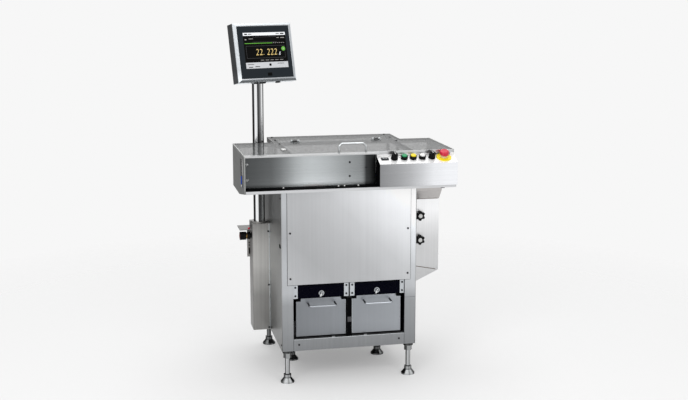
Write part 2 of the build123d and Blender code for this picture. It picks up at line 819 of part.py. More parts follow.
def standing_conveyor(x, motor_x):
    """Conveyor on four short legs, with its drive motor."""
    frame = conveyor_frame(x, side_plate_bottom)
    for leg_x in (x[0] + conveyor_leg_inset, x[1] - conveyor_leg_inset):
        for low in (lane_y[0], lane_y[1] - side_plate):
            frame += block(about(leg_x, conveyor_leg_width / 2), (low, low + side_plate),
                           (floor_top, side_plate_bottom))
    return group(frame, drive_motor(motor_x))


def infeed_frame():
    """Infeed conveyor with a product guide rail along its back."""
    conveyor = standing_conveyor(infeed_x, roller_places(infeed_x)[1])
    rail_y = lane_y[1] + rail_radius + 1
    rail = rod_x((infeed_x[0] + 2 * side_plate, infeed_x[1]), rail_y, rail_z, rail_radius)
    for x in (infeed_x[0] + rail_post_inset, sum(infeed_x) / 2 + rail_post_inset / 2):
        rail += rod_z(x, rail_y, (floor_top, rail_z), rail_radius)
    return group(conveyor, rail)


def weigh_frame():
    """Weigh conveyor on a carrier plate, with posts down to the platform on the load cell."""
    frame = conveyor_frame(weigh_x, carrier_z[1])
    frame += block(platform_x, (lane_y[0], carrier_back), carrier_z)
    frame += block(platform_x, (platform_y[0] + 4, platform_y[1] - 4), (platform_bottom, platform_top))
    side, front, back = platform_post_inset
    for x in (platform_x[0] + side, platform_x[1] - side):
        for y in (platform_y[0] + front, carrier_back - back):
            frame += rod_z(x, y, (platform_top, carrier_z[0]), platform_post_radius)
    return group(frame, drive_motor(roller_places(weigh_x)[0]))


def outfeed_frame():
    return standing_conveyor(outfeed_x, roller_places(outfeed_x)[0])


def belt_loop(x):
    """Closed flat belt round its two rollers."""
    def stadium(radius, y):
        loop = block(roller_places(x), y, about(belt_axis_z, radius))
        for axis_x in roller_places(x):
            loop += rod_y(axis_x, y, belt_axis_z, radius)
        return loop
    cut_y = (belt_y[0] - 1, belt_y[1] + 1)
    return stadium(belt_radius, belt_y) - stadium(belt_radius - belt_thickness, cut_y)


def conveyor_belts():
    return group(belt_loop(infeed_x), belt_loop(weigh_x), belt_loop(outfeed_x))


def roller(axis_x):
    body = rod_y(axis_x, (belt_y[0] + 0.5, belt_y[1] - 0.5), belt_axis_z, roller_radius)
    return body + rod_y(axis_x, lane_y, belt_axis_z, roller_shaft_radius)


def air_nozzles():
    """Blow-off bars on the inner guard, one for each reject chute."""
    width, depth, height = nozzle_size
    bars = []
    for x in (sum(chute_left_x) / 2, sum(chute_right_x) / 2):
        bar = block(about(x, width / 2), (0, depth), (nozzle_bottom, nozzle_bottom + height))
        for step in (-2, -1, 0, 1, 2):
            bar -= rod_y(x + step * width / 6, (1, depth + 1), nozzle_bottom + height / 2,
                         nozzle_hole_radius)
        bars.append(bar)
    return group(*bars)


def on_slope(x, height=0.0):
    """Frame on the sloping console top, with its Z out of the surface."""
    slope = math.radians(console_slope)
    normal = (0, -math.sin(slope), math.cos(slope))
    origin = (x, control_y + height * normal[1], control_z + height * normal[2])
    return Location(Plane(origin=origin, x_dir=(1, 0, 0), z_dir=normal))


def stub(x, low, high, radius):
    """Cylinder that stands on the console slope between two heights."""
    return on_slope(x, (low + high) / 2) * Cylinder(radius, high - low)


def push_button_places():
    return (green_x, yellow_x, white_x)


def selector_places():
    return (selector_left_x, selector_right_x)


def console_profile(inset):
    """(y, z) outline of the console section, moved inwards by inset."""
    slope = math.radians(console_slope)
    lift = inset / math.cos(slope)
    front, back = console_front + inset, console_back - inset
    front_top = console_front_top + inset * math.tan(slope) - lift
    return [(front, floor_top), (front, front_top), (back, console_top - inset * math.tan(slope) - lift),
            (back, floor_top)]


def console_shell():
    """Folded console box, open underneath, with a hole for each control."""
    shell = prism_x(console_profile(0), (console_left, hood_right))
    hollow = prism_x([(y, z - 1 if z == floor_top else z) for y, z in console_profile(sheet)],
                     (console_left + sheet, hood_right - sheet))
    shell -= hollow
    for x in push_button_places() + selector_places() + (e_stop_x,):
        shell -= stub(x, -4 * sheet, 4 * sheet, neck_radius)
    shell += block((console_left + sheet, hood_right - sheet), (console_front + sheet, floor_front),
                   (floor_top, floor_top + sheet))
    return shell


def control_bezels():
    """Guard rings of the buttons, bases of the selectors, collar of the stop and the counter."""
    pieces = []
    for x in push_button_places():
        ring = stub(x, -neck_length, 0, neck_radius) + stub(x, 0, bezel_height, bezel_radius)
        pieces.append(ring - stub(x, 1, bezel_height + 1, cap_radius + running_gap))
    for x in selector_places():
        base = stub(x, -neck_length, 0, neck_radius) + stub(x, 0, selector_base, bezel_radius)
        pieces.append(base - stub(x, -neck_length / 2, selector_base + 1, stud_radius + running_gap))
    collar_top = e_stop_plate_thickness + e_stop_collar_height
    collar = stub(e_stop_x, -neck_length, e_stop_plate_thickness, neck_radius)
    collar += stub(e_stop_x, e_stop_plate_thickness, collar_top, e_stop_collar_radius)
    pieces.append(collar - stub(e_stop_x, -neck_length - 1, collar_top + 1, e_stop_stem_radius + running_gap))
    width, depth, height = counter_size
    pieces.append(on_slope(counter_x, height / 2) * Box(width, depth, height))
    return group(*pieces)


def e_stop_plate():
    disc = stub(e_stop_x, 0, e_stop_plate_thickness, e_stop_plate_radius)
    return disc - stub(e_stop_x, -1, e_stop_plate_thickness + 1, neck_radius)


def push_button(x):
    """Domed cap that slides in its guard ring."""
    low = 1 + button_travel + slide_gap
    cap = stub(x, low, bezel_height + cap_proud, cap_radius)
    crown = cap.faces().sort_by(Axis((0, 0, 0), (0, -math.sin(math.radians(console_slope)),
                                                 math.cos(math.radians(console_slope)))))[-1]
    return fillet(crown.edges(), cap_proud * 0.7)


def selector(x):
    """Turning knob with a raised grip bar and a stud in its base."""
    low = selector_base + slide_gap
    knob = stub(x, -neck_length / 2 + 1, low, stud_radius) + stub(x, low, low + selector_height, selector_radius)
    width, rise = selector_grip
    grip = on_slope(x, low + selector_height + rise / 2) * Box(width, 2 * selector_radius - 4, rise)
    return knob + grip


def e_stop_stem():
    """Plunger of the stop, with a spigot that the head turns on."""
    plunger = stub(e_stop_x, -neck_length, e_stop_head_bottom, e_stop_stem_radius)
    spigot_top = e_stop_head_bottom + e_stop_head_height / 2
    return plunger + stub(e_stop_x, e_stop_head_bottom, spigot_top, e_stop_stem_radius - 2)


def e_stop_head():
    """Red mushroom head."""
    top = e_stop_head_bottom + e_stop_head_height
    head = stub(e_stop_x, e_stop_head_bottom + slide_gap, top, e_stop_head_radius)
    crown = head.faces().sort_by(Axis((0, 0, 0), (0, -math.sin(math.radians(console_slope)),
                                                  math.cos(math.radians(console_slope)))))[-1]
    head = fillet(crown.edges(), e_stop_head_height * 0.45)
    bore_top = e_stop_head_bottom + e_stop_head_height / 2 + slide_gap
    return head - stub(e_stop_x, e_stop_head_bottom, bore_top, e_stop_stem_radius - 2 + running_gap)


def side_box():
    """Service box with a front cover, a guard shelf over the valve and a slotted strip."""
    front_split = box_y[0] + sheet
    z = (box_bottom, box_top)
    shell = block((box_left, 0), (front_split, box_y[1]), z)
    shell -= block((box_left + sheet, -sheet), (front_split - 1, box_y[1] - sheet),
                   (box_bottom + sheet, box_top - sheet))
    shell += block((shelf_left, box_left), box_y, about(shelf_z, sheet * 0.75))
    strip = block((strip_left, box_left), (box_y[1] - 2 * sheet, box_y[1]), strip_z)
    cover = block((box_left, 0), (box_y[0], front_split), z)
    cover -= block((box_left - 1, box_left), box_y, z)
    flange_z = (pole_flange_bottom(), pole_flange_bottom() + pole_flange[1])
    shell += rod_z(pole_x, pole_y, flange_z, pole_flange[0] - 2) - rod_z(pole_x, pole_y, flange_z, pole_radius)
    return group(shell + strip, cover)


def pole_flange_bottom():
    return box_top


def pole():
    outer = rod_z(pole_x, pole_y, (box_top, pole_top), pole_radius)
    return outer - rod_z(pole_x, pole_y, (box_top - 1, pole_top + 1), pole_radius - pole_wall)


def valve_stations():
    """X of the faces along the valve, from the box outwards."""
    gland = box_left - valve_gland[1]
    barrel = gland - valve_barrel[1]
    neck = barrel - valve_neck[1]
    return gland, barrel, neck


def valve_body():
    gland, barrel, neck = valve_stations()
    body = rod_x((gland, box_left), valve_y, valve_z, valve_gland[0])
    body += rod_x((barrel, gland), valve_y, valve_z, valve_barrel[0])
    body += rod_x((neck, barrel), valve_y, valve_z, valve_neck[0])
    return body + rod_x((neck - valve_knob[1] / 2, neck), valve_y, valve_z, valve_stem_radius)


def valve_knob_piece():
    neck = valve_stations()[2] - slide_gap
    knob = rod_x((neck - valve_knob[1], neck), valve_y, valve_z, valve_knob[0])
    bore = rod_x((neck - valve_knob[1] / 2 - 1, neck + 1), valve_y, valve_z, valve_stem_radius + running_gap)
    for turn in range(12):
        angle = math.radians(30 * turn)
        y = valve_y + (valve_knob[0] + 1) * math.cos(angle)
        z = valve_z + (valve_knob[0] + 1) * math.sin(angle)
        knob -= rod_x((neck - valve_knob[1] + 5, neck + 1), y, z, 2.5)
    return knob - bore


def side_chute():
    """Chute box beside the cabinet, its flared throat under the hood and the clamp strip."""
    y0, y1 = side_chute_y

    def low_z(x):
        return side_chute_low_left + (x - cabinet_width) * side_chute_slope
    right = side_chute_x
    wall = [(cabinet_width, side_chute_top), (right, side_chute_top), (right, low_z(right)),
            (cabinet_width, low_z(cabinet_width))]
    box = prism_y(wall, side_chute_y)
    hollow = [(cabinet_width - 1, side_chute_top + 1), (right - sheet, side_chute_top + 1),
              (right - sheet, low_z(right - sheet) + sheet), (cabinet_width - 1, low_z(cabinet_width - 1) + sheet)]
    box -= prism_y(hollow, (y0 + sheet, y1 - sheet))
    inner = side_chute_tongue_x
    tongue = [(cabinet_width, low_z(cabinet_width)), (cabinet_width, low_z(cabinet_width) + sheet),
              (inner, low_z(inner) + sheet), (inner, low_z(inner))]
    box += prism_y(tongue, (y0 + 2 * sheet, y1 - 2 * sheet))
    for knob_height in knob_z:
        box -= rod_y(knob_x, (y0 - 1, y0 + sheet + 1), knob_height, stud_radius + running_gap)

    throat = prism_x([(throat_front, floor_bottom), (throat_front, throat_break_z), (y0, side_chute_top),
                      (y1, side_chute_top), (y1, floor_bottom)], (cabinet_width, right))
    throat -= prism_x([(throat_front + sheet, floor_bottom + 1), (throat_front + sheet, throat_break_z + sheet / 2),
                       (y0 + sheet, side_chute_top + sheet / 2), (y0 + sheet, side_chute_top - 1),
                       (y1 - sheet, side_chute_top - 1), (y1 - sheet, floor_bottom + 1)],
                      (cabinet_width + sheet, right - sheet))
    clamp = block(clamp_x, (y0 - strip_thickness, y0), clamp_z)
    for knob_height in knob_z:
        clamp -= rod_y(knob_x, (y0 - strip_thickness - 1, y0 + 1), knob_height, stud_radius + running_gap)
    return group(box, throat, clamp)


def star_knob(height):
    """Lobed clamping knob on a stud that passes through the strip and the chute wall."""
    back = side_chute_y[0] - strip_thickness - slide_gap
    lobe = star_knob_radius * 0.28
    y = (back - star_knob_depth, back)
    knob = rod_y(knob_x, y, height, star_knob_radius - lobe)
    for turn in range(star_knob_lobes):
        angle = 2 * math.pi * turn / star_knob_lobes + math.pi / 2
        reach = star_knob_radius - lobe
        knob += rod_y(knob_x + reach * math.cos(angle), (y[0] + 3, y[1] - 4),
                      height + reach * math.sin(angle), lobe)
    return knob + rod_y(knob_x, (back, side_chute_y[0] + 3 * sheet), height, stud_radius)


def panel_frame():
    """Frame of the touch panel: origin in the middle of its glass, Y into the housing, Z up."""
    turn = math.radians(panel_turn)
    x = pole_x + panel_reach * math.sin(turn)
    y = pole_y - panel_reach * math.cos(turn)
    return Pos(x, y, panel_z) * Rot(0, 0, panel_turn) * Rot(-panel_tilt, 0, 0)


def pole_frame():
    """Frame on the pole axis at floor level, with -Y towards the panel."""
    return Pos(pole_x, pole_y, 0) * Rot(0, 0, panel_turn)


def pivot_in_panel():
    """(y, z) of the tilt pin in the panel's own frame."""
    tilt = math.radians(panel_tilt)
    back, rise = panel_reach - pivot_reach, pivot_z - panel_z
    return back * math.cos(tilt) - rise * math.sin(tilt), back * math.sin(tilt) + rise * math.cos(tilt)


def hmi_swivel():
    """Sleeve and cap that turn on the pole top, with the block of the tilt hinge."""
    outer = pole_radius + swivel_gap + sleeve_wall
    cap_z = (pole_top + swivel_gap, pole_top + swivel_gap + sleeve_cap)
    body = rod_z(0, 0, (sleeve_bottom, cap_z[1]), outer)
    body -= rod_z(0, 0, (sleeve_bottom - 1, cap_z[0]), pole_radius + running_gap)
    body += block(about(0, fork_half_width), about(-pivot_reach, fork_half_depth),
                  (cap_z[1], pivot_z + fork_rise))
    pin_hole = rod_x(about(0, fork_half_width + 1), -pivot_reach, pivot_z, pivot_pin_radius + running_gap)
    return pole_frame() * (body - pin_hole)


def hmi_housing():
    """Bevelled front frame, and the rear shell with the ears of the tilt hinge."""
    half_w, half_h = panel_width / 2, panel_height / 2
    front = Plane(origin=(0, 0, 0), x_dir=(1, 0, 0), z_dir=(0, 1, 0))
    split = Plane(origin=(0, bezel_depth, 0), x_dir=(1, 0, 0), z_dir=(0, 1, 0))
    frame = loft([front * Rectangle(panel_width - 2 * bezel_lip, panel_height - 2 * bezel_lip + 2),
                  split * Rectangle(panel_width, panel_height)])
    frame -= block(about(0, glass_width / 2 + panel_gap), (-1, glass_thickness),
                   about(0, glass_height / 2 + panel_gap))
    frame -= block(about(0, glass_width / 2 - glass_seat), (0, bezel_depth + 1),
                   about(0, glass_height / 2 - glass_seat))
    shell = block(about(0, half_w), (bezel_depth, panel_depth), about(0, half_h))
    shell -= block(about(0, half_w - panel_wall), (bezel_depth - 1, panel_depth - panel_wall),
                   about(0, half_h - panel_wall))
    pin_y, pin_z = pivot_in_panel()
    ear_gap = fork_half_width + slide_gap
    for side in (-1, 1):
        x = sorted((side * ear_gap, side * (ear_gap + ear_thickness)))
        shell += block(x, (panel_depth, pin_y), about(pin_z, ear_radius))
        shell += rod_x(x, pin_y, pin_z, ear_radius)
    shell += rod_x(about(0, ear_gap + ear_thickness), pin_y, pin_z, pivot_pin_radius)
    return panel_frame() * group(frame, shell)


def hmi_glass():
    """Dark glass with a shallow seat for the display."""
    glass = block(about(0, glass_width / 2), (0, glass_thickness), about(0, glass_height / 2))
    glass -= block(about(0, screen_width / 2), (-1, screen_thickness), about(screen_raise, screen_height / 2))
    return panel_frame() * glass


def hmi_screen():
    return panel_frame() * block(about(0, screen_width / 2), (0, screen_thickness),
                                 about(screen_raise, screen_height / 2))


def screw_head():
    """Button head with a hexagon socket, standing on the XY plane."""
    head = Pos(0, 0, screw_height / 2) * Cylinder(screw_radius, screw_height)
    head = fillet(head.faces().sort_by(Axis.Z)[-1].edges(), screw_height * 0.5)
    socket = extrude(Pos(0, 0, screw_height - screw_socket_depth) * RegularPolygon(screw_socket, 6),
                     amount=screw_height)
    return head - socket


def front_screw_places():
    """(x, y, z) of the heads that face forwards, on the surface they sit on."""
    inset = front_panel_side_gap + front_screw_inset
    places = [(x, -sheet, front_panel_bottom + rise)
              for x in (inset, cabinet_width - inset) for rise in front_screw_rise]
    rail_screw_z = cabinet_bottom + rail_screw_rise
    places += [(x, 0, rail_screw_z) for x in (rail_screw_inset, cabinet_width - rail_screw_inset)]
    bracket_face = window_y[0] - bracket_thickness
    for low, high, _ in bracket_places():
        heights = (window_z[0] + bracket_screw_inset, window_z[1] - bracket_screw_inset)
        places += [((low + high) / 2, bracket_face, z) for z in heights]
    places += [(x, cover_y, cover_bottom + rise)
               for x in (hood_inner_left + cover_screw_inset, middle_x) for rise in cover_screw_rise]
    places.append((cover_right - cover_end_screw[0], cover_y, cover_bottom + cover_end_screw[1]))
    places += [(box_screw_x, box_y[0], box_bottom + rise) for rise in box_screw_rise]
    return places


def panel_screws():
    """Every button-head screw of the cabinet, hood and service box."""
    head = screw_head()
    pieces = [Pos(*place) * Rot(90, 0, 0) * head for place in front_screw_places()]
    for rise in skin_screw_rise:
        for y in (skin_screw_inset, inner_back - skin_screw_inset):
            pieces.append(Pos(0, y, cabinet_bottom + rise) * Rot(0, -90, 0) * head)
            pieces.append(Pos(cabinet_width, y, cabinet_bottom + rise) * Rot(0, 90, 0) * head)
    for x in (rear_screw_inset, middle_x, cabinet_width - rear_screw_inset):
        for rise in rear_screw_rise:
            pieces.append(Pos(x, cabinet_depth, cabinet_bottom + rise) * Rot(-90, 0, 0) * head)
    for x in (lid_left - roof_seam_offset, lid_right + roof_seam_offset):
        pieces += [Pos(x, y, hood_top) * head for y in roof_screw_y]
    return group(*pieces)


def all_nodes():
    """Every node of the machine by name, before it is moved to its own origin."""
    nodes = {
        "cabinet_frame": cabinet_frame(),
        "front_panel": front_panel(),
        "cabinet_panels": cabinet_panels(),
        "panel_screws": panel_screws(),
        "bin_windows": bin_windows(),
        "window_brackets": window_brackets(),
        "bin_runners": bin_runners(),
        "foot_locknuts": foot_locknuts(),
        "weigh_pedestal": weigh_pedestal(),
        "load_cell": load_cell(),
        "reject_chutes": reject_chutes(),
        "hood_floor": hood_floor(),
        "hood_ends": hood_ends(),
        "front_cover": front_cover(),
        "hood_frame": group(hood_frame(), lid_hinges()),
        "windshield": windshield(),
        "lid": lid(),
        "lid_fittings": lid_fittings(),
        "infeed_frame": infeed_frame(),
        "weigh_frame": weigh_frame(),
        "outfeed_frame": outfeed_frame(),
        "conveyor_belts": conveyor_belts(),
        "air_nozzles": air_nozzles(),
        "console_shell": console_shell(),
        "control_bezels": control_bezels(),
        "green_button": push_button(green_x),
        "yellow_button": push_button(yellow_x),
        "white_button": push_button(white_x),
        "selector_left": selector(selector_left_x),
        "selector_right": selector(selector_right_x),
        "e_stop_plate": e_stop_plate(),
        "e_stop_stem": e_stop_stem(),
        "e_stop_head": e_stop_head(),
        "pole": pole(),
        "hmi_swivel": hmi_swivel(),
        "hmi_housing": hmi_housing(),
        "hmi_glass": hmi_glass(),
        "hmi_screen": hmi_screen(),
        "side_box": side_box(),
        "valve_body": valve_body(),
        "valve_knob": valve_knob_piece(),
        "side_chute": side_chute(),
    }
    for side, centre in zip(("left", "right"), bin_centres):
        nodes[f"bin_lock_{side}"] = bin_lock(centre)
        nodes[f"reject_bin_{side}"] = reject_bin(centre)
    for place, (x, y) in foot_places.items():
        nodes[f"foot_{place}"] = foot(x, y)
    for name, x in (("infeed", infeed_x), ("weigh", weigh_x), ("outfeed", outfeed_x)):
        for end, axis_x in zip(("left", "right"), roller_places(x)):
            nodes[f"{name}_roller_{end}"] = roller(axis_x)
    for place, height in zip(("lower", "upper"), knob_z):
        nodes[f"star_knob_{place}"] = star_knob(height)
    return nodes


def origin_shift(nodes):
    """Move that puts the origin under the middle of the whole machine's box."""
    boxes = [shape.bounding_box() for shape in nodes.values()]
    x = (min(box.min.X for box in boxes) + max(box.max.X for box in boxes)) / 2
    y = (min(box.min.Y for box in boxes) + max(box.max.Y for box in boxes)) / 2
    return (-x, -y, 0)


machine = all_nodes()
shift = origin_shift(machine)

os.makedirs("parts", exist_ok=True)
for name, shape in machine.items():
    export_step(Pos(*shift) * shape, f"parts/{name}.step")
print(len(machine), "nodes, origin shift", [round(value, 3) for value in shift])
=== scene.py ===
"""Looks of a checkweigher: brushed steel cabinet, clear hood, button console and touch panel."""

import math

import bmesh
import bpy
from mathutils import Matrix, Vector

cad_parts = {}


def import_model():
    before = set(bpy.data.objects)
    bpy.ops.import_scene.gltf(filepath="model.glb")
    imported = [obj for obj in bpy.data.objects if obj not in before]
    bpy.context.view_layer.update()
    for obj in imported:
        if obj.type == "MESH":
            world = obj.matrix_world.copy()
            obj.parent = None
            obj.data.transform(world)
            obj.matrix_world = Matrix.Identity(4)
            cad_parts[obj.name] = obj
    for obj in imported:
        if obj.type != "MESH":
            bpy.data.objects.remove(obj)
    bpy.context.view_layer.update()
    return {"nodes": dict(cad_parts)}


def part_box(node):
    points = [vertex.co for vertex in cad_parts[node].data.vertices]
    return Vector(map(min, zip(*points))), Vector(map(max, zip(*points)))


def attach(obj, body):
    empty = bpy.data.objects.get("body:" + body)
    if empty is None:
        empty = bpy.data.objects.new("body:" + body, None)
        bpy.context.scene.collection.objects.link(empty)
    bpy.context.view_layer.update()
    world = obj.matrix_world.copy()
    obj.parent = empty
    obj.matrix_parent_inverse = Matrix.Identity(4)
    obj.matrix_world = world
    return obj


MM = 0.001

# Camera, in the row frame: metres and degrees
CAMERA_PLACE = (-1.0045, -4.8879, 1.6962)
CAMERA_PITCH = 9.746
CAMERA_YAW = -12.077
CAMERA_LENS = 59.46
CAMERA_SENSOR = 36.0
CAMERA_SHIFT_Y = -0.03

# Angles of the sloping parts, in degrees
CONSOLE_SLOPE = 22.0
PANEL_TURN = 21.0
PANEL_TILT = 12.0
LOCK_BLADE_TURN = 25.0

# Light levels, where 1 renders as white
BACKGROUND = 0.93
WORLD_LIGHT = 0.62
DARK_CARD = 0.24
FLOOR_COLOUR = (0.70, 0.70, 0.70, 1)
FLOOR_GLOW = 0.26

# Card that metal mirrors: where it is, and how many degrees from there it starts to fade and ends
DARK_CARD_TOWARDS = (-0.6, 0.78, -0.05)
DARK_CARD_FULL = 30.0
DARK_CARD_END = 42.0

# Floor in metres, its sides, and the shares of its radius between which it fades out
FLOOR_RADIUS = 3.0
FLOOR_SIDES = 96
FLOOR_FADE = (0.25, 0.95)

# Point that the lamps are aimed at
LIGHT_AIM = (0, 0, 0.8)

# Grain of brushed metal: repeats per metre across and along the brushing
FINE_GRAIN = (700.0, 5.0)
BROAD_GRAIN = (130.0, 1.6)

# Bump of a finish: strength of the brushed grain, and the depth that all finishes share
GRAIN_STRENGTH = 0.12
BUMP_DEPTH = 0.2 * MM

# Softened edges: their radius on brushed metal, and the samples that find them
SOFT_EDGE = 1.2 * MM
EDGE_SAMPLES = 4

# Parts of a noise's range that a finish varies over
WIDE = (0.2, 0.8)
BROAD = (0.25, 0.75)
USUAL = (0.3, 0.7)
UPPER = (0.35, 0.7)

# How metallic a brushed finish is above its cap
CAP_METALLIC = 0.25

# Acrylic: its index of refraction, and the upward parts of its normal between which a pane counts as lying
ACRYLIC_IOR = 1.49
LYING = (0.4, 0.9)

# Meshes: angle in degrees above which an edge is sharp, sides of a turned shape, steps and roundness of a
# rounded edge
SHARP_ANGLE = 35.0
TURNED_SIDES = 40
BEVEL_STEPS = 3
ROUND_PROFILE = 0.5

# Written digits: how far they lean, and the space between them
DIGIT_LEAN = 0.12
DIGIT_SPACING = 1.06

# Sockets of the Mix node that carry colours
MIX_FACTOR, MIX_A, MIX_B, MIX_RESULT = 0, 6, 7, 2

# Directions that a finish may vary along
ALONG_X = (1, 0, 0)
ALONG_Y = (0, 1, 0)
ALONG_Z = (0, 0, 1)
RIGHT_AND_UP = (1, 0, 1)

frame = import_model()


def grey(value):
    return (value, value, value, 1.0)


# Node helpers


def add(tree, kind, settings=None, **inputs):
    """New shader node. Inputs are values or sockets, by name with _ for a space."""
    made = tree.nodes.new(kind)
    for key, value in (settings or {}).items():
        setattr(made, key, value)
    for key, value in inputs.items():
        feed(tree, made.inputs[key.replace("_", " ")], value)
    return made


def feed(tree, socket, value):
    if isinstance(value, bpy.types.NodeSocket):
        tree.links.new(value, socket)
    else:
        socket.default_value = value


def mix(tree, factor, a, b, mode="MIX"):
    made = tree.nodes.new("ShaderNodeMix")
    made.data_type = "RGBA"
    made.blend_type = mode
    feed(tree, made.inputs[MIX_FACTOR], factor)
    feed(tree, made.inputs[MIX_A], a)
    feed(tree, made.inputs[MIX_B], b)
    return made.outputs[MIX_RESULT]


def ramp(tree, factor, stops):
    """Colour ramp through (position, grey or colour) stops."""
    made = tree.nodes.new("ShaderNodeValToRGB")
    feed(tree, made.inputs["Fac"], factor)
    elements = made.color_ramp.elements
    while len(elements) < len(stops):
        elements.new(0.5)
    for element, (position, value) in zip(elements, stops):
        element.position = position
        element.color = grey(value) if isinstance(value, float) else value
    return made.outputs["Color"]


def remap(tree, value, low, high, new_low, new_high):
    made = tree.nodes.new("ShaderNodeMapRange")
    for socket, item in zip(made.inputs, (value, low, high, new_low, new_high)):
        feed(tree, socket, item)
    return made.outputs["Result"]


def place(tree):
    """Where a point of the surface is at rest, in metres in the row frame."""
    return add(tree, "ShaderNodeTexCoord").outputs["Object"]


def axis_of(tree, vector, axis):
    return add(tree, "ShaderNodeSeparateXYZ", Vector=vector).outputs[axis]


def distance_along(tree, where, direction):
    made = add(tree, "ShaderNodeVectorMath", {"operation": "DOT_PRODUCT"})
    feed(tree, made.inputs[0], where)
    feed(tree, made.inputs[1], direction)
    return made.outputs["Value"]


def varied(tree, marks, low, high, over=USUAL):
    """Noise as values that run from low to high over a part of its range."""
    return remap(tree, marks, *over, low, high)


def times(tree, tint, level):
    return mix(tree, 1.0, tint, level, "MULTIPLY")


def toned(tree, tint, where, tones):
    """Tint times a ramp for each (direction, stops), where a stop is (metres along the direction, level).
    These ramps paint reflections and shade by place.
    """
    for direction, stops in tones:
        low, high = stops[0][0], stops[-1][0]
        level = remap(tree, distance_along(tree, where, direction), low, high, 0.0, 1.0)
        scaled = [((at - low) / (high - low), value) for at, value in stops]
        tint = times(tree, tint, ramp(tree, level, scaled))
    return tint


def noise(tree, where, scale, detail=3.0, stretch=(1, 1, 1)):
    mapped = add(tree, "ShaderNodeMapping", Vector=where, Scale=stretch).outputs["Vector"]
    return add(tree, "ShaderNodeTexNoise", Vector=mapped, Scale=scale, Detail=detail).outputs["Fac"]


def brush_marks(tree, where, grain, repeats, detail):
    """Noise drawn out along the brushing, whose direction is an axis letter."""
    across, along = repeats
    stretch = [across] * 3
    stretch["XYZ".index(grain)] = along
    return noise(tree, where, 1.0, detail, stretch)


def new_material(name):
    material = bpy.data.materials.new(name)
    material.use_nodes = True
    tree = material.node_tree
    return material, tree, tree.nodes["Principled BSDF"]


def soften(tree, shader, height=None, strength=GRAIN_STRENGTH, edge=SOFT_EDGE):
    """Rounded edges in the shading, and bump of some strength where a height is given."""
    normal = add(tree, "ShaderNodeBevel", {"samples": EDGE_SAMPLES}, Radius=edge).outputs["Normal"]
    if height is not None:
        bump = add(tree, "ShaderNodeBump", Strength=strength, Distance=BUMP_DEPTH, Height=height,
                   Normal=normal)
        normal = bump.outputs["Normal"]
    feed(tree, shader.inputs["Normal"], normal)


# Materials


def brushed(name, colour, grain="Z", rough=0.34, tones=(), streak=0.10, cap=None):
    """Brushed stainless steel whose brightness varies by tones, which are painted reflections and painted
    shade.

    A cap is (height, level): above that height the finish has that plain level and is less metallic."""
    material, tree, shader = new_material(name)
    shader.inputs["Metallic"].default_value = 1.0
    where = place(tree)
    fine = brush_marks(tree, where, grain, FINE_GRAIN, 2.0)
    broad = brush_marks(tree, where, grain, BROAD_GRAIN, 4.0)
    cloud = noise(tree, where, 5.0, 4.0)
    tint = toned(tree, (*colour, 1), where, tones)
    if cap is not None:
        height, level = cap
        over = remap(tree, axis_of(tree, where, "Z"), height - MM, height + MM, 0.0, 1.0)
        tint = mix(tree, over, tint, grey(level))
        feed(tree, shader.inputs["Metallic"], remap(tree, over, 0.0, 1.0, 1.0, CAP_METALLIC))
    tint = times(tree, tint, varied(tree, broad, 1.0 - streak, 1.0 + streak * 0.6, BROAD))
    tint = times(tree, tint, varied(tree, cloud, 0.96, 1.03))
    feed(tree, shader.inputs["Base Color"], tint)
    feed(tree, shader.inputs["Roughness"], varied(tree, fine, rough - 0.06, rough + 0.08, WIDE))
    soften(tree, shader, fine)
    return material


def polished(name, colour, rough=0.12, tones=()):
    """Chrome or polished steel with faint wipe marks."""
    material, tree, shader = new_material(name)
    where = place(tree)
    marks = noise(tree, where, 60.0, 4.0, (1, 1, 0.3))
    tint = toned(tree, (*colour, 1), where, tones)
    tint = times(tree, tint, varied(tree, marks, 0.92, 1.0))
    feed(tree, shader.inputs["Base Color"], tint)
    feed(tree, shader.inputs["Roughness"], varied(tree, marks, rough * 0.8, rough * 1.5))
    shader.inputs["Metallic"].default_value = 1.0
    soften(tree, shader, edge=0.6 * MM)
    return material


def banded(name, colour, stops, tones=(), rough=0.15):
    """Polished upright tube or turning with painted reflections: long light and dark vertical bands round it,
    set by the way its surface faces.

    A stop's place goes from 0 at the front through 0.25 on the left and 0.5 at the back to 1."""
    material, tree, shader = new_material(name)
    where = place(tree)
    normal = add(tree, "ShaderNodeNewGeometry").outputs["Normal"]
    angle = add(tree, "ShaderNodeMath", {"operation": "ARCTAN2"})
    feed(tree, angle.inputs[0], axis_of(tree, normal, "X"))
    feed(tree, angle.inputs[1], axis_of(tree, normal, "Y"))
    turn = remap(tree, angle.outputs["Value"], -math.pi, math.pi, 0.0, 1.0)
    marks = noise(tree, where, 12.0, 3.0, (30, 30, 0.5))
    tint = times(tree, (*colour, 1), ramp(tree, turn, stops))
    tint = toned(tree, tint, where, tones)
    tint = times(tree, tint, varied(tree, marks, 0.9, 1.0))
    feed(tree, shader.inputs["Base Color"], tint)
    feed(tree, shader.inputs["Roughness"], varied(tree, marks, rough * 0.8, rough * 1.5))
    shader.inputs["Metallic"].default_value = 1.0
    return material


def plastic(name, colour, rough=0.4, grain=400.0, bump=0.08, edge=0.8 * MM, gloss=0.5):
    """Moulded plastic with a fine texture and slight unevenness of colour."""
    material, tree, shader = new_material(name)
    where = place(tree)
    fine = noise(tree, where, grain, 2.0)
    cloud = noise(tree, where, 25.0, 4.0)
    tint = times(tree, (*colour, 1), varied(tree, cloud, 0.96, 1.04))
    feed(tree, shader.inputs["Base Color"], tint)
    feed(tree, shader.inputs["Roughness"], varied(tree, cloud, rough * 0.85, rough * 1.15))
    shader.inputs["Specular IOR Level"].default_value = gloss
    soften(tree, shader, fine, bump, edge)
    return material


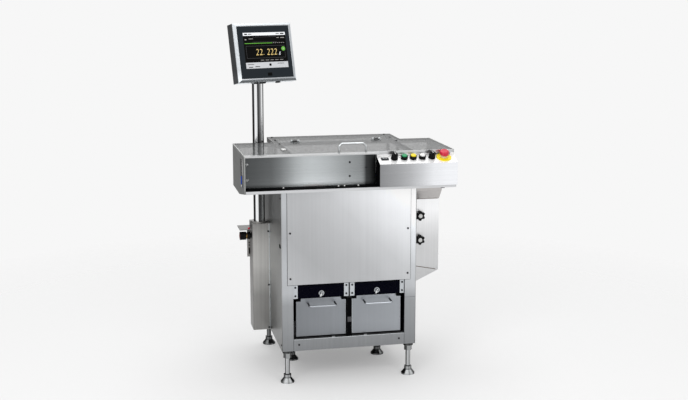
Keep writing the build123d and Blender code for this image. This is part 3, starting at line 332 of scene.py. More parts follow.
def where_lying(tree, level):
    """1 on upright faces, and the level on faces that lie flat."""
    facing = axis_of(tree, add(tree, "ShaderNodeNewGeometry").outputs["Normal"], "Z")
    flatness = add(tree, "ShaderNodeMath", {"operation": "ABSOLUTE"})
    feed(tree, flatness.inputs[0], facing)
    return remap(tree, flatness.outputs["Value"], *LYING, 1.0, level)


def acrylic(name, colour, alpha, rough=0.06, gloss=0.5, lying=None):
    """Clear or smoked sheet with fine wipe scratches. Where it lies flat, it may be darker, which is painted
    shade, and duller.
    """
    material, tree, shader = new_material(name)
    scratches = noise(tree, place(tree), 30.0, 6.0, (1, 6, 1))
    tint = mix(tree, scratches, (*colour, 1), (*[c * 1.15 for c in colour], 1))
    shader.inputs["IOR"].default_value = ACRYLIC_IOR
    shader.inputs["Specular IOR Level"].default_value = gloss
    # Lying panes are darker by painted shade, and reflect less
    if lying is not None:
        shade = where_lying(tree, lying)
        tint = times(tree, tint, shade)
        feed(tree, shader.inputs["Specular IOR Level"], remap(tree, shade, 0.0, 1.0, 0.0, gloss))
    feed(tree, shader.inputs["Base Color"], tint)
    feed(tree, shader.inputs["Roughness"], varied(tree, scratches, rough, rough * 2.5, UPPER))
    feed(tree, shader.inputs["Alpha"], varied(tree, scratches, alpha - 0.02, alpha + 0.03))
    material.surface_render_method = "BLENDED"
    return material


def fabric_belt(name, dark, pale):
    """Conveyor belt with a fine cross weave, whose colour drifts between two tints."""
    material, tree, shader = new_material(name)
    where = place(tree)
    weave = add(tree, "ShaderNodeTexChecker", Vector=where, Scale=900.0).outputs["Fac"]
    cloud = noise(tree, where, 30.0, 4.0)
    tint = mix(tree, cloud, (*dark, 1), (*pale, 1))
    feed(tree, shader.inputs["Base Color"], tint)
    shader.inputs["Roughness"].default_value = 0.55
    soften(tree, shader, weave, 0.2)
    return material


def glowing(name, colour, strength):
    """Lit area of a display."""
    material, tree, shader = new_material(name)
    cells = noise(tree, place(tree), 900.0, 1.0)
    tint = times(tree, (*colour, 1), varied(tree, cells, 0.94, 1.0))
    feed(tree, shader.inputs["Base Color"], tint)
    feed(tree, shader.inputs["Emission Color"], tint)
    shader.inputs["Emission Strength"].default_value = strength
    shader.inputs["Roughness"].default_value = 0.25
    return material


def dark_glass(name, colour, rough, gloss):
    """Dark pane with faint smears."""
    material, tree, shader = new_material(name)
    smears = noise(tree, place(tree), 18.0, 5.0, (1, 1, 3))
    cloudy = mix(tree, smears, (*colour, 1), (*[c * 1.2 for c in colour], 1))
    feed(tree, shader.inputs["Base Color"], cloudy)
    feed(tree, shader.inputs["Roughness"], varied(tree, smears, rough, rough * 2.2, UPPER))
    shader.inputs["Specular IOR Level"].default_value = gloss
    soften(tree, shader, edge=0.5 * MM)
    return material


def extent(node, direction):
    """Least and greatest reach of a node's mesh along a direction, in metres."""
    reaches = [vertex.co.dot(direction) for vertex in frame["nodes"][node].data.vertices]
    return min(reaches), max(reaches)


# Places on the object, from the frame

cover_low, cover_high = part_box("front_cover")
panel_low, panel_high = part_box("front_panel")
legs_low, legs_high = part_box("cabinet_frame")
console_low, console_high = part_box("console_shell")
ends_low, ends_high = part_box("hood_ends")
floor_low, floor_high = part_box("hood_floor")
box_low, box_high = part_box("side_box")
bins_low, bins_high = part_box("reject_bin_left")
brackets_low, brackets_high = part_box("window_brackets")
FRONT = legs_low.y
LEFT = legs_low.x
MIDDLE = (legs_low.x + legs_high.x) / 2

# Places and sizes that no box gives
LEG_WIDTH = 48 * MM
RAIL_TOP = legs_low.z + 51 * MM
SKIN_FACE = LEFT - 2 * MM
BIN_FRONT = FRONT + 15 * MM
CONSOLE_EDGE = console_low.z + 97 * MM
CASE_ACROSS = Vector((math.cos(math.radians(PANEL_TURN)), math.sin(math.radians(PANEL_TURN)), 0))
CASE_LEFT = extent("hmi_housing", CASE_ACROSS)[0]


# Tones of the metals: painted reflections and painted shade, set by place. Each is a direction and stops of
# (metres along it, level), and a level or a colour at a stop multiplies the finish's own colour.


def by_share(low, high, stops):
    """Stops given as shares of the way from low to high, as metres."""
    return [(low + share * (high - low), level) for share, level in stops]


def two_levels(direction, ends, edge, levels):
    """Tones with one level up to an edge and another beyond it, where the edge is a short range of places."""
    (low, high), (start, stop), (before, beyond) = ends, edge, levels
    return direction, [(low, before), (start, before), (stop, beyond), (high, beyond)]


# Painted shade in the side chute's throat, a warm grey
THROAT_SHADE = (0.57, 0.545, 0.53, 1)

# Painted reflections on the legs and rail, brighter upwards and towards the top right, and painted shade on
# their faces behind the front
leg_painted_light = [
    (ALONG_Z, [
        (0.14, 0.53), (0.216, 0.63), (0.28, 0.70), (0.345, 0.75), (0.40, 1.10), (0.52, 1.12), (0.64, 0.95),
        (0.70, 1.00), (0.76, 1.12), (0.86, 1.22)]),
    (RIGHT_AND_UP, [
        (0.0, 0.49), (0.62, 0.49), (0.74, 0.56), (0.79, 0.60), (0.85, 0.74), (0.91, 0.90), (0.97, 1.08),
        (1.09, 1.0)]),
    two_levels(ALONG_Y, (FRONT, FRONT + 0.6), (FRONT + 0.6 * MM, FRONT + 1.2 * MM), (1.0, 0.10)),
]
# Painted reflection on the front panel, brightest towards its top right
panel_painted_light = [(RIGHT_AND_UP, [
    (0.15, 0.56), (0.385, 0.475), (0.60, 0.55), (0.74, 0.64), (0.85, 0.80), (0.95, 0.93), (1.02, 1.02),
    (1.10, 1.18)])]
# Painted reflection and shade up the left skin, brightest about its middle height
skin_painted_light = [(ALONG_Z, [
    (0.143, 0.14), (0.205, 0.16), (0.24, 0.20), (0.281, 0.24), (0.334, 0.29), (0.387, 0.38), (0.49, 0.42),
    (0.60, 0.39), (0.653, 0.28), (0.706, 0.22), (0.855, 0.22)])]
# Painted reflection across the front cover, dark at its left and brightest right of the middle, painted shade
# on its faces behind the front, and painted light that lifts its lower part
cover_painted_light = [
    (ALONG_X, by_share(cover_low.x, cover_high.x, [
        (0.0, 0.09), (0.085, 0.103), (0.206, 0.14), (0.266, 0.205), (0.327, 0.315), (0.388, 0.46),
        (0.45, 0.555), (0.511, 0.595), (0.573, 0.57), (0.635, 0.52), (0.76, 0.38), (0.885, 0.285),
        (0.905, 0.22), (0.925, 0.05), (1.0, 0.02)])),
    two_levels(ALONG_Y, (cover_low.y, cover_high.y), (cover_low.y + 0.8 * MM, cover_low.y + 1.2 * MM),
               (1.0, 0.10)),
    (ALONG_Z, by_share(cover_low.z, cover_high.z, [
        (0.0, 2.0), (0.10, 1.6), (0.20, 1.25), (0.32, 1.08), (0.5, 1.0), (1.0, 1.0)])),
]
# Painted reflection across the console front, darker towards its left
console_painted_light = [(ALONG_X, by_share(console_low.x, console_high.x, [
    (0.0, 0.29), (0.22, 0.39), (0.38, 0.50), (0.535, 0.67), (0.69, 0.91), (0.85, 0.97), (1.0, 0.98)]))]
# Painted reflection on the front of the hood frame, and painted shade on it behind the front
hood_painted_light = [(ALONG_Y, [
    (FRONT - 0.06, 0.62), (FRONT + 0.01, 0.60), (FRONT + 0.02, 0.12), (FRONT + 0.55, 0.12)])]
# Painted reflection on the hood floor's front edge, and painted shade on it behind that edge
hood_floor_painted_light = [two_levels(ALONG_Y, (floor_low.y, floor_high.y),
                          (floor_low.y + 0.5 * MM, floor_low.y + 1.5 * MM), (0.68, 0.20))]
# Painted reflection on the bin fronts, darker at the left and brighter at the top, a painted highlight on the
# handles and painted shade between the handles and the fronts
bin_painted_light = [
    (ALONG_X, [(LEFT + 0.064, 0.25), (LEFT + 0.282, 0.31), (LEFT + 0.526, 0.39)]),
    (ALONG_Z, by_share(bins_low.z, bins_high.z, [(0.0, 0.92), (0.3, 1.0), (0.85, 1.0), (1.0, 1.16)])),
    (ALONG_Y, by_share(bins_low.y, BIN_FRONT, [
        (0.0, 1.7), (0.10, 1.7), (0.17, 0.12), (0.88, 0.12), (0.94, 1.0), (1.0, 1.0)])),
]
# Painted shade on the front face of the window brackets
bracket_painted_light = [two_levels(ALONG_Y, (brackets_low.y, brackets_high.y),
                            (brackets_low.y + 1.5 * MM, brackets_low.y + 2 * MM), (0.75, 1.0))]
# Painted reflection and shade up the service box, and darker on its left part
box_painted_light = [
    (ALONG_Z, [
        (0.144, 0.31), (0.26, 0.37), (0.305, 0.37), (0.351, 0.47), (0.396, 0.50), (0.442, 0.59),
        (0.533, 0.56), (0.578, 0.48), (0.624, 0.36), (0.643, 0.33)]),
    two_levels(ALONG_X, (box_low.x, box_high.x), (box_low.x + 56.5 * MM, box_low.x + 59 * MM), (0.60, 1.0)),
]
# Painted reflection up the side chute, brighter towards the top, and painted shade in its throat
chute_painted_light = [(ALONG_Z, [
    (0.34, 0.57), (0.436, 0.58), (0.471, 0.65), (0.543, 0.67), (0.579, 0.69), (0.615, 0.77), (0.65, 0.84),
    (0.686, 0.93), (0.722, 1.0), (0.765, 1.0), (0.768, THROAT_SHADE), (0.858, THROAT_SHADE)])]
# Painted reflection up the end plates, brighter at the top, and painted shade in the jambs of the product
# slot
end_painted_light = [
    (ALONG_Z, [(0.81, 0.40), (0.99, 0.42), (1.003, 0.60)]),
    (ALONG_Y, [(FRONT + 58.5 * MM, 1.0), (FRONT + 60 * MM, 0.08), (FRONT + 62 * MM, 0.08),
               (FRONT + 63.5 * MM, 1.0)]),
]
# Painted light at the bottom of the panel housing, and painted shade on its left side
case_painted_light = [
    (ALONG_Z, [(1.26, 1.45), (1.30, 1.35), (1.33, 0.95), (1.53, 1.05)]),
    two_levels(CASE_ACROSS, (CASE_LEFT, CASE_LEFT + 0.4), (CASE_LEFT + 1 * MM, CASE_LEFT + 1.6 * MM),
               (0.25, 1.0)),
]
# Painted shade on the lower part of the lid fittings
lid_painted_light = [(ALONG_Z, [(1.0, 0.62), (1.0095, 0.62), (1.012, 0.9), (1.045, 1.0)])]
# Painted highlights and painted shade in rings up the feet, and painted shade on the back feet
foot_painted_light = [
    (ALONG_Z, [
        (0.0, 1.0), (0.019, 1.0), (0.0225, 0.15), (0.025, 0.8), (0.034, 0.8), (0.037, 0.12), (0.040, 0.95),
        (0.108, 0.95), (0.110, 1.2), (0.130, 1.2), (0.133, 0.12), (0.150, 0.10)]),
    two_levels(ALONG_Y, (FRONT, FRONT + 0.7), (FRONT + 0.09, FRONT + 0.16), (1.0, 0.38)),
]

# Painted reflections as bands round the pole and the feet: stops of (turn from the front through the left,
# level)
pole_painted_reflection = [
    (0.0, 0.09), (0.012, 0.06), (0.024, 0.01), (0.034, 0.03), (0.045, 0.85), (0.06, 0.95), (0.10, 1.05),
    (0.12, 0.95), (0.132, 0.15), (0.15, 0.02), (0.19, 0.03), (0.283, 0.05), (0.345, 0.06), (0.37, 0.60),
    (0.43, 0.60), (0.46, 0.22), (0.61, 0.22), (0.64, 0.60), (0.69, 0.50), (0.71, 0.08), (0.80, 0.08),
    (0.845, 0.12), (0.872, 0.14), (0.885, 0.95), (0.912, 1.0), (0.924, 0.55), (0.95, 0.36), (0.975, 0.15),
    (1.0, 0.09)]
foot_painted_reflection = [
    (0.0, 0.35), (0.03, 0.75), (0.09, 0.80), (0.13, 0.30), (0.17, 0.08), (0.28, 0.12), (0.36, 0.7),
    (0.44, 0.25), (0.56, 0.7), (0.64, 0.2), (0.72, 0.5), (0.79, 0.04), (0.88, 0.04), (0.905, 0.45),
    (0.95, 0.75), (1.0, 0.35)]

# Finishes

steel_legs = brushed("steel_legs", (0.955, 0.985, 1.02), tones=leg_painted_light, streak=0.06)
steel_panel = brushed("steel_front_panel", (0.97, 0.985, 1.01), tones=panel_painted_light, streak=0.035)
steel_skin = brushed("steel_skins", (0.97, 0.99, 0.985), tones=skin_painted_light)
steel_cover = brushed("steel_cover", (0.95, 1.0, 1.02), "X", 0.30, cover_painted_light, 0.04)
steel_console = brushed("steel_console", (0.975, 0.99, 1.02), "X", 0.30, console_painted_light, 0.05,
                        cap=(CONSOLE_EDGE, 1.0))
steel_hood = brushed("steel_hood", (0.98, 0.99, 1.0), "X", 0.28, hood_painted_light)
steel_floor = brushed("steel_hood_floor", (0.97, 0.98, 1.0), "X", 0.36, hood_floor_painted_light)
steel_ends = brushed("steel_end_plates", (0.98, 1.0, 0.98), "Y", 0.36, end_painted_light)
steel_bins = brushed("steel_bins", (0.94, 0.99, 1.06), "Z", 0.36, bin_painted_light, 0.03)
steel_brackets = brushed("steel_brackets", (0.55, 0.575, 0.60), "Z", 0.36, bracket_painted_light, 0.05)
steel_box = brushed("steel_service_box", (1.0, 0.985, 0.955), "Z", 0.34, box_painted_light)
steel_chute = brushed("steel_side_chute", (0.985, 0.99, 1.0), "Z", 0.36, chute_painted_light, 0.05)
# Dark steel whose low colour is painted shade on the frames inside the hood and the cabinet; the ribbed catch
# on the post shares it
steel_inner_painted_shade = brushed("steel_inner_painted_shade", (0.10, 0.10, 0.105), "X", 0.45)
steel_panel_case = brushed("steel_panel_case", (0.60, 0.63, 0.655), "X", 0.30, case_painted_light, 0.05)
chrome = polished("chrome", (0.80, 0.81, 0.82))
# Dark metal of the lock plugs, painted shade inside the locks
plug_painted_shade = polished("plug_painted_shade", (0.10, 0.11, 0.12))
rim_metal = polished("rim_metal", (0.46, 0.48, 0.50), 0.3)
brass = polished("brass", (0.50, 0.30, 0.10), 0.25)
fitting_chrome = polished("fitting_chrome", (0.62, 0.64, 0.65), tones=lid_painted_light)
screw_metal = polished("screw_metal", (0.05, 0.05, 0.053), 0.25)
machined = polished("machined_aluminium", (0.50, 0.51, 0.53), 0.28)
roller_metal = polished("roller_metal", (0.16, 0.16, 0.17), 0.28)
pole_metal = banded("pole_metal", (0.98, 0.99, 1.0), pole_painted_reflection)
foot_metal = banded("foot_metal", (0.86, 0.88, 0.89), foot_painted_reflection, foot_painted_light, 0.12)
seam_metal = polished("seam_metal", (0.13, 0.10, 0.08), 0.35)
seam_dark = polished("seam_dark", (0.10, 0.105, 0.115), 0.35)
# Bright metal for painted highlights along the edges of the rail, the bins and the service box
edge_highlight = polished("edge_highlight", (0.72, 0.76, 0.78), 0.25)
black = plastic("black_plastic", (0.004, 0.004, 0.0045), 0.40, gloss=0.12)
black_gloss = plastic("black_gloss_plastic", (0.002, 0.002, 0.0025), 0.40, bump=0.02, edge=2.0 * MM,
                      gloss=0.10)
# Black for real rubber parts, and also for dark strips of painted shade: the gap between the bins, the shadow
# gap round the front panel, the console's end, and the insides of slots and sockets
black_rubber_and_shade = plastic("black_rubber_and_shade", (0.003, 0.003, 0.0035), 0.7, 250.0, 0.2, gloss=0.01)
green_plastic = plastic("green_cap", (0.0, 0.30, 0.10), 0.2, bump=0.02, edge=2.5 * MM)
yellow_plastic = plastic("yellow_cap", (0.92, 0.72, 0.0), 0.22, bump=0.02, edge=2.5 * MM)
white_plastic = plastic("white_cap", (0.86, 0.86, 0.85), 0.25, bump=0.02, edge=2.5 * MM)
red_plastic = plastic("red_head", (0.66, 0.012, 0.045), 0.28, bump=0.02, edge=2.5 * MM)
guard_blue = plastic("guard_blue", (0.0, 0.07, 0.55), 0.4)
stem_pale = plastic("stem_pale", (0.80, 0.66, 0.48), 0.3, bump=0.02)
yellow_plate = plastic("yellow_plate", (1.0, 0.84, 0.0), 0.42, bump=0.02)
dark_red = plastic("dark_red", (0.16, 0.02, 0.02), 0.4)
# The roof and other lying panes of the hood get painted shade
clear = acrylic("clear_acrylic", (0.42, 0.435, 0.435), 0.44, lying=0.40)
smoke = acrylic("smoked_acrylic", (0.0015, 0.0015, 0.005), 0.975, 0.08, 0.02)
belt_blue = fabric_belt("belt_blue", (0.0, 0.09, 0.60), (0.01, 0.14, 0.75))
panel_glass = dark_glass("panel_glass", (0.012, 0.017, 0.022), 0.10, 0.15)
screen_black = dark_glass("screen_black", (0.002, 0.002, 0.002), 0.12, 0.06)
screen_white = glowing("screen_white", (0.78, 0.80, 0.82), 0.35)
screen_dim = glowing("screen_dim", (0.36, 0.35, 0.33), 0.25)
screen_grey = glowing("screen_grey", (0.55, 0.56, 0.58), 0.25)
screen_yellow = glowing("screen_yellow", (0.80, 0.60, 0.22), 0.35)
screen_green = glowing("screen_green", (0.11, 0.42, 0.03), 0.25)
screen_line = glowing("screen_line", (0.05, 0.05, 0.055), 0.1)

FINISHES = {
    steel_legs: ["cabinet_frame"],
    steel_panel: ["front_panel"],
    steel_skin: ["cabinet_panels"],
    steel_cover: ["front_cover"],
    steel_console: ["console_shell"],
    steel_hood: ["hood_frame"],
    steel_floor: ["hood_floor"],
    steel_ends: ["hood_ends"],
    steel_bins: ["reject_bin_left", "reject_bin_right"],
    steel_brackets: ["window_brackets"],
    steel_box: ["side_box"],
    steel_chute: ["side_chute"],
    steel_inner_painted_shade: ["bin_runners", "weigh_pedestal", "reject_chutes", "infeed_frame", "weigh_frame",
                  "outfeed_frame"],
    steel_panel_case: ["hmi_housing", "hmi_swivel"],
    plug_painted_shade: ["bin_lock_left", "bin_lock_right"],
    fitting_chrome: ["lid_fittings"],
    foot_metal: ["foot_locknuts"],
    screw_metal: ["panel_screws"],
    machined: ["load_cell", "air_nozzles"],
    pole_metal: ["pole"],
    black: ["valve_body", "valve_knob", "star_knob_lower", "star_knob_upper"],
    stem_pale: ["e_stop_stem"],
    black_gloss: ["control_bezels", "selector_left", "selector_right"],
    green_plastic: ["green_button"],
    yellow_plastic: ["yellow_button"],
    white_plastic: ["white_button"],
    red_plastic: ["e_stop_head"],
    yellow_plate: ["e_stop_plate"],
    clear: ["windshield", "lid"],
    smoke: ["bin_windows"],
    belt_blue: ["conveyor_belts"],
    panel_glass: ["hmi_glass"],
    screen_black: ["hmi_screen"],
}


def dress_nodes():
    """Give each CAD node its finish."""
    finishes = {node: material for material, nodes in FINISHES.items() for node in nodes}
    for name, thing in frame["nodes"].items():
        if name.startswith("foot_") and name not in finishes:
            finishes[name] = foot_metal
        if "_roller_" in name:
            finishes[name] = roller_metal
        thing.data.materials.clear()
        thing.data.materials.append(finishes[name])


# Mesh helpers. Every mesh is written in the row frame, and its object stays at the origin.


def in_mm(points):
    """Points given in millimetres, in metres."""
    return [tuple(value * MM for value in point) for point in points]


def aimed(at, degrees, axis):
    """Frame at a point, turned about one axis."""
    return Matrix.Translation(at) @ Matrix.Rotation(math.radians(degrees), 4, axis)


def in_scene(name, data):
    thing = bpy.data.objects.new(name, data)
    bpy.context.scene.collection.objects.link(thing)
    return thing


def piece(name, mesh_data, material, body, smooth=True):
    """Object of one material that rides on a body, shaded smooth up to the sharp angle or else flat."""
    for polygon in mesh_data.polygons:
        polygon.use_smooth = smooth
    thing = in_scene(name, mesh_data)
    thing.data.materials.append(material)
    if smooth:
        sharp = thing.modifiers.new("edges", "EDGE_SPLIT")
        sharp.split_angle = math.radians(SHARP_ANGLE)
    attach(thing, body)


def to_mesh(name, work, matrix=None):
    """Mesh from a bmesh, moved by a matrix."""
    if matrix is not None:
        bmesh.ops.transform(work, matrix=matrix, verts=work.verts)
    bmesh.ops.recalc_face_normals(work, faces=work.faces)
    mesh_data = bpy.data.meshes.new(name)
    work.to_mesh(mesh_data)
    work.free()
    return mesh_data


def add_block(work, low, high, bevel=0.0):
    """Box between two corners with rounded edges, added to a bmesh."""
    middle = (Vector(low) + Vector(high)) / 2
    size = Vector(high) - Vector(low)
    stretched = Matrix.Translation(middle) @ Matrix.Diagonal((*size, 1))
    made = bmesh.ops.create_cube(work, size=1.0, matrix=stretched)
    if bevel > 0:
        edges = {edge for vert in made["verts"] for edge in vert.link_edges}
        bmesh.ops.bevel(work, geom=list(edges), offset=bevel, segments=BEVEL_STEPS, affect="EDGES",
                        profile=ROUND_PROFILE)


def add_turned(work, outline, matrix):
    """Turned shape from (radius, height) points round the matrix's Z axis, added to a bmesh."""
    rings = []
    for radius, height in outline:
        ring = []
        for step in range(TURNED_SIDES):
            angle = 2 * math.pi * step / TURNED_SIDES
            point = Vector((radius * math.cos(angle), radius * math.sin(angle), height))
            ring.append(work.verts.new(matrix @ point))
        rings.append(ring)
    for lower, upper in zip(rings, rings[1:]):
        for step in range(TURNED_SIDES):
            after = (step + 1) % TURNED_SIDES
            work.faces.new((lower[step], lower[after], upper[after], upper[step]))
    work.faces.new(list(reversed(rings[0])))
    work.faces.new(rings[-1])


def add_prism(work, outline, x_low, x_high):
    """Outline of (y, z) points, extruded along X, added to a bmesh."""
    ends = [[work.verts.new((x, y, z)) for y, z in outline] for x in (x_low, x_high)]
    work.faces.new(ends[0])
    work.faces.new(ends[1])
    for step in range(len(outline)):
        after = (step + 1) % len(outline)
        work.faces.new((ends[0][step], ends[0][after], ends[1][after], ends[1][step]))


def blocks(name, boxes, material, body="root", bevel=0.6 * MM, matrix=None):
    """Piece made of boxes, each given by two corners."""
    work = bmesh.new()
    for low, high in boxes:
        add_block(work, low, high, bevel)
    piece(name, to_mesh(name, work, matrix), material, body)


def turned(name, outline, matrices, material, body="root"):
    """Piece made of one turned shape at each matrix."""
    work = bmesh.new()
    for matrix in matrices:
        add_turned(work, outline, matrix)
    piece(name, to_mesh(name, work), material, body)


def writing(name, text, height, matrix, material, body, depth=0.3 * MM, thinner=0.006):
    """Plain digits as a thin mesh, centred on the matrix's XY plane. Thinner is a share of the height."""
    curve = bpy.data.curves.new(name + "_curve", "FONT")
    curve.body = text
    curve.size = height
    curve.align_x = "CENTER"
    curve.align_y = "CENTER"
    curve.extrude = depth / 2
    curve.offset = -height * thinner
    curve.shear = DIGIT_LEAN
    curve.space_character = DIGIT_SPACING
    source = in_scene(name + "_source", curve)
    bpy.context.view_layer.update()
    shaped = source.evaluated_get(bpy.context.evaluated_depsgraph_get())
    mesh_data = bpy.data.meshes.new_from_object(shaped)
    bpy.data.objects.remove(source)
    mesh_data.transform(matrix)
    mesh_data.materials.clear()
    piece(name, mesh_data, material, body, smooth=False)


def centre_of(node):
    low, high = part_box(node)
    return (low + high) / 2


# Touch panel

# Half the display's size, in millimetres like all places on it
DISPLAY_HALF_WIDTH, DISPLAY_HALF_HEIGHT = 105.5, 79.0


def panel_matrix():
    """Frame on the display's front: X to the right, Y into the housing, Z up, origin in its middle."""
    turn = Matrix.Rotation(math.radians(PANEL_TURN), 4, "Z")
    tilt = Matrix.Rotation(math.radians(-PANEL_TILT), 4, "X")
    outward = Matrix.Translation((0, -0.4 * MM, 0))
    return Matrix.Translation(centre_of("hmi_screen")) @ turn @ tilt @ outward


def screen_marks(name, marks, material, lift=0.25 * MM):
    """Thin raised marks on the display: left, right, bottom and top in millimetres from its middle."""
    sunk = 0.1 * MM
    boxes = [((left * MM, -lift, bottom * MM), (right * MM, sunk, top * MM))
             for left, right, bottom, top in marks]
    blocks(name, boxes, material, "hmi_panel", 0, panel_matrix())


def screen_disc(name, outline, x, z, material):
    """Small round mark on the display, turned from an outline, with its middle in millimetres."""
    facing = aimed((x * MM, 0, z * MM), 90, "X")
    turned(name, in_mm(outline), [panel_matrix() @ facing], material, "hmi_panel")


def screen_digits(name, text, size, x, z, material, narrow=1.0, thinner=0.006):
    """Writing on the display, with its size and its middle in millimetres."""
    facing = aimed((x * MM, -0.3 * MM, z * MM), 90, "X") @ Matrix.Diagonal((narrow, 1, 1, 1))
    writing(name, text, size * MM, panel_matrix() @ facing, material, "hmi_panel", thinner=thinner)


def screen_picture():
    """Bars, marks, lines, digits and discs on the display."""
    left, right = -DISPLAY_HALF_WIDTH + 1, DISPLAY_HALF_WIDTH - 1
    bottom, top = -DISPLAY_HALF_HEIGHT + 1, DISPLAY_HALF_HEIGHT - 1
    screen_marks("screen_top_bar", [(left, right, top - 13, top)], screen_white)
    screen_marks("screen_bottom_bar", [(left, right, bottom, bottom + 26)], screen_grey)
    top_marks = [(-98, -84, 69, 74), (-80, -62, 70, 73), (58, 74, 70, 73), (80, 98, 69, 74)]
    bottom_marks = [(-97, -66, -61, -59), (-60, -38, -72, -69), (-92, -72, -74, -71), (52, 84, -60, -58)]
    screen_marks("screen_dark_marks", top_marks + bottom_marks, screen_black, 0.5 * MM)
    screen_marks("screen_green_bar", [(-100, 36, 30, 32.6)], screen_green)
    ticks = [(x, x + 6, 31, 32.8) for x in range(40, 100, 10)]
    captions = [(x, x + 16, -44, -42.2) for x in range(-30, 90, 24)]
    small = [(-78, -58, 50, 52), (-98, -90, 46, 50), (60, 72, 53, 55), (80, 98, 52, 55)]
    screen_marks("screen_small_marks", ticks + captions + small, screen_dim)
    number_frame = [(-96, 96, -34, -33), (-96, 96, 19, 20), (-96, -95, -34, 20), (95, 96, -34, 20)]
    rules = [(-60, 60, 36, 37), (-60, 60, 58, 59)]
    screen_marks("screen_lines", number_frame + rules, screen_line)
    screen_digits("screen_digits", "22. 222", 40, 2, -9, screen_yellow, 0.84, 0.016)
    screen_digits("screen_unit", "g", 20, 68, -12, screen_white)
    screen_disc("screen_green_dot", [(9.5, -0.1), (9.5, 0.4)], 88, 5, screen_green)
    screen_disc("screen_dot_mark", [(0.01, 0.4), (3, 0.4), (3, 0.6)], 88, 5, screen_dim)
    screen_disc("screen_button_mark", [(6, -0.1), (6, 0.4)], 15, -64, screen_black)


def panel_details():
    """Status window in the glass, bright rim of the housing's front, and catches under the housing."""
    face = panel_matrix()
    window = [in_mm([(-3, -0.8, -112), (19, 1.5, -98)])]
    blocks("panel_status_window", window, screen_black, "hmi_panel", 1.0 * MM, face)
    half, bottom, top = 133.5, -126.5, 110.5
    out, back = -0.6, 0.6
    inner = half - 8
    rim = [in_mm([(inner, out, bottom), (half, back, top)]),
           in_mm([(-half, out, top - 4), (inner, back, top)]),
           in_mm([(-half, out, bottom), (inner, back, bottom + 5)])]
    blocks("panel_rim", rim, rim_metal, "hmi_panel", 0.4 * MM, face)
    under = -137
    catches = [in_mm([(left, 18, under - 5), (right, 34, under + 1)])
               for left, right in ((-60, -44), (-32, -6), (48, 66))]
    blocks("panel_catches", catches, black, "hmi_panel", 1.5 * MM, face)


# Console


def slope_matrix(point):
    """Frame on the sloping console top at a point, with its Z out of the surface."""
    return aimed(point, CONSOLE_SLOPE, "X")


def slope_height(y):
    """Height of the sloping console top at a place along Y."""
    return CONSOLE_EDGE + (y - console_low.y) * math.tan(math.radians(CONSOLE_SLOPE))


def outer_face(node):
    """Middle of a control's outer face on the slope."""
    slope = math.radians(CONSOLE_SLOPE)
    normal = Vector((0, -math.sin(slope), math.cos(slope)))
    middle = centre_of(node)
    return middle + normal * (extent(node, normal)[1] - middle.dot(normal))


def selector_marks():
    """White pointer on each selector."""
    for side in ("left", "right"):
        node = f"selector_{side}"
        line = [in_mm([(-1.2, -10, -0.4), (1.2, 11, 0.5)])]
        blocks(f"selector_mark_{side}", line, white_plastic, node, 0.2 * MM,
               slope_matrix(outer_face(node)))


def console_end_shade():
    """Dark sheet on the end of the console that faces the cover, painted shade on that end."""
    thick, inset = 0.5 * MM, 1.0 * MM
    front, back = console_low.y + inset, console_high.y - 0.5 * MM
    bottom, front_top = console_low.z + inset, CONSOLE_EDGE - inset
    back_top = front_top + (back - front) * math.tan(math.radians(CONSOLE_SLOPE))
    work = bmesh.new()
    # Painted shade over the whole end face
    add_prism(work, [(front, bottom), (back, bottom), (back, back_top), (front, front_top)],
              console_low.x - thick, console_low.x)
    piece("console_end_shade", to_mesh("console_end_shade", work), black_rubber_and_shade, "root")


def stop_collar():
    """Pale collar under the head of the stop."""
    collar = in_mm([(14.1, 0), (14.9, 0.4), (14.9, 8.8), (14.1, 9.3), (6.5, 9.3)])
    turned("stop_collar", collar, [slope_matrix(outer_face("e_stop_plate"))], stem_pale, "root")


def console_back_trim():
    """Upright strips along the back of the sloping top, on both sides of the stop's plate."""
    plate_low, plate_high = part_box("e_stop_plate")
    y, top, gap = FRONT - 20 * MM, 988 * MM, 1 * MM
    front, back = y + 0.2 * MM, y + 1.2 * MM
    bottom = slope_height(y) + 0.5 * MM
    trims = [((console_low.x, front, bottom), (plate_low.x - gap, back, top)),
             ((plate_high.x + gap, front, bottom), (console_high.x - 0.5 * MM, back, top))]
    blocks("console_back_trim", trims, steel_console, bevel=0.2 * MM)


def counter_details():
    """Dark window and digits of the counter at the console's left end."""
    x, y = console_low.x + 29.4 * MM, -303 * MM
    top = slope_matrix((x, y, slope_height(y)))
    window = [in_mm([(-14, -7.5, 2.6), (14, 7.5, 3.6)])]
    blocks("counter_window", window, panel_glass, "root", 0.4 * MM, top)
    digits = top @ Matrix.Translation((0, 0, 3.7 * MM))
    writing("counter_digits", "00125", 8 * MM, digits, white_plastic, "root", 0.2 * MM)


# Hood


def sill():
    """Dark strip on the hood floor in front of the cover, with four studs on it."""
    deep, thick = 58 * MM, 2 * MM
    strip = [((cover_low.x, cover_low.y - deep, floor_high.z),
              (cover_high.x, cover_low.y, floor_high.z + thick))]
    blocks("sill_strip", strip, black_rubber_and_shade, "root", 0.4 * MM)
    y, z = cover_low.y - 28 * MM, floor_high.z + 1.5 * MM
    studs = [Matrix.Translation((SKIN_FACE + x * MM, y, z)) for x in (7, 241, 267, 326)]
    outline = in_mm([(3, 0), (3, 4.5), (2.4, 5.6), (1, 6)])
    turned("sill_studs", outline, studs, white_plastic, "root")


def cover_screws():
    """Two screws in the left end of the front cover."""
    x, y = cover_low.x + 14 * MM, cover_low.y + 0.3 * MM
    heights = [cover_low.z + share * (cover_high.z - cover_low.z) for share in (0.275, 0.765)]
    places = [aimed((x, y, z), 90, "X") for z in heights]
    head = in_mm([(5.5, 0), (5.5, 1.2), (4.6, 2.0), (3, 2.0)])
    turned("cover_screws", head, places, chrome, "root")
    # Dark sockets in the heads are painted shade
    turned("cover_screw_sockets", in_mm([(2.8, 1.2), (2.8, 2.3)]), places, black_rubber_and_shade, "root")


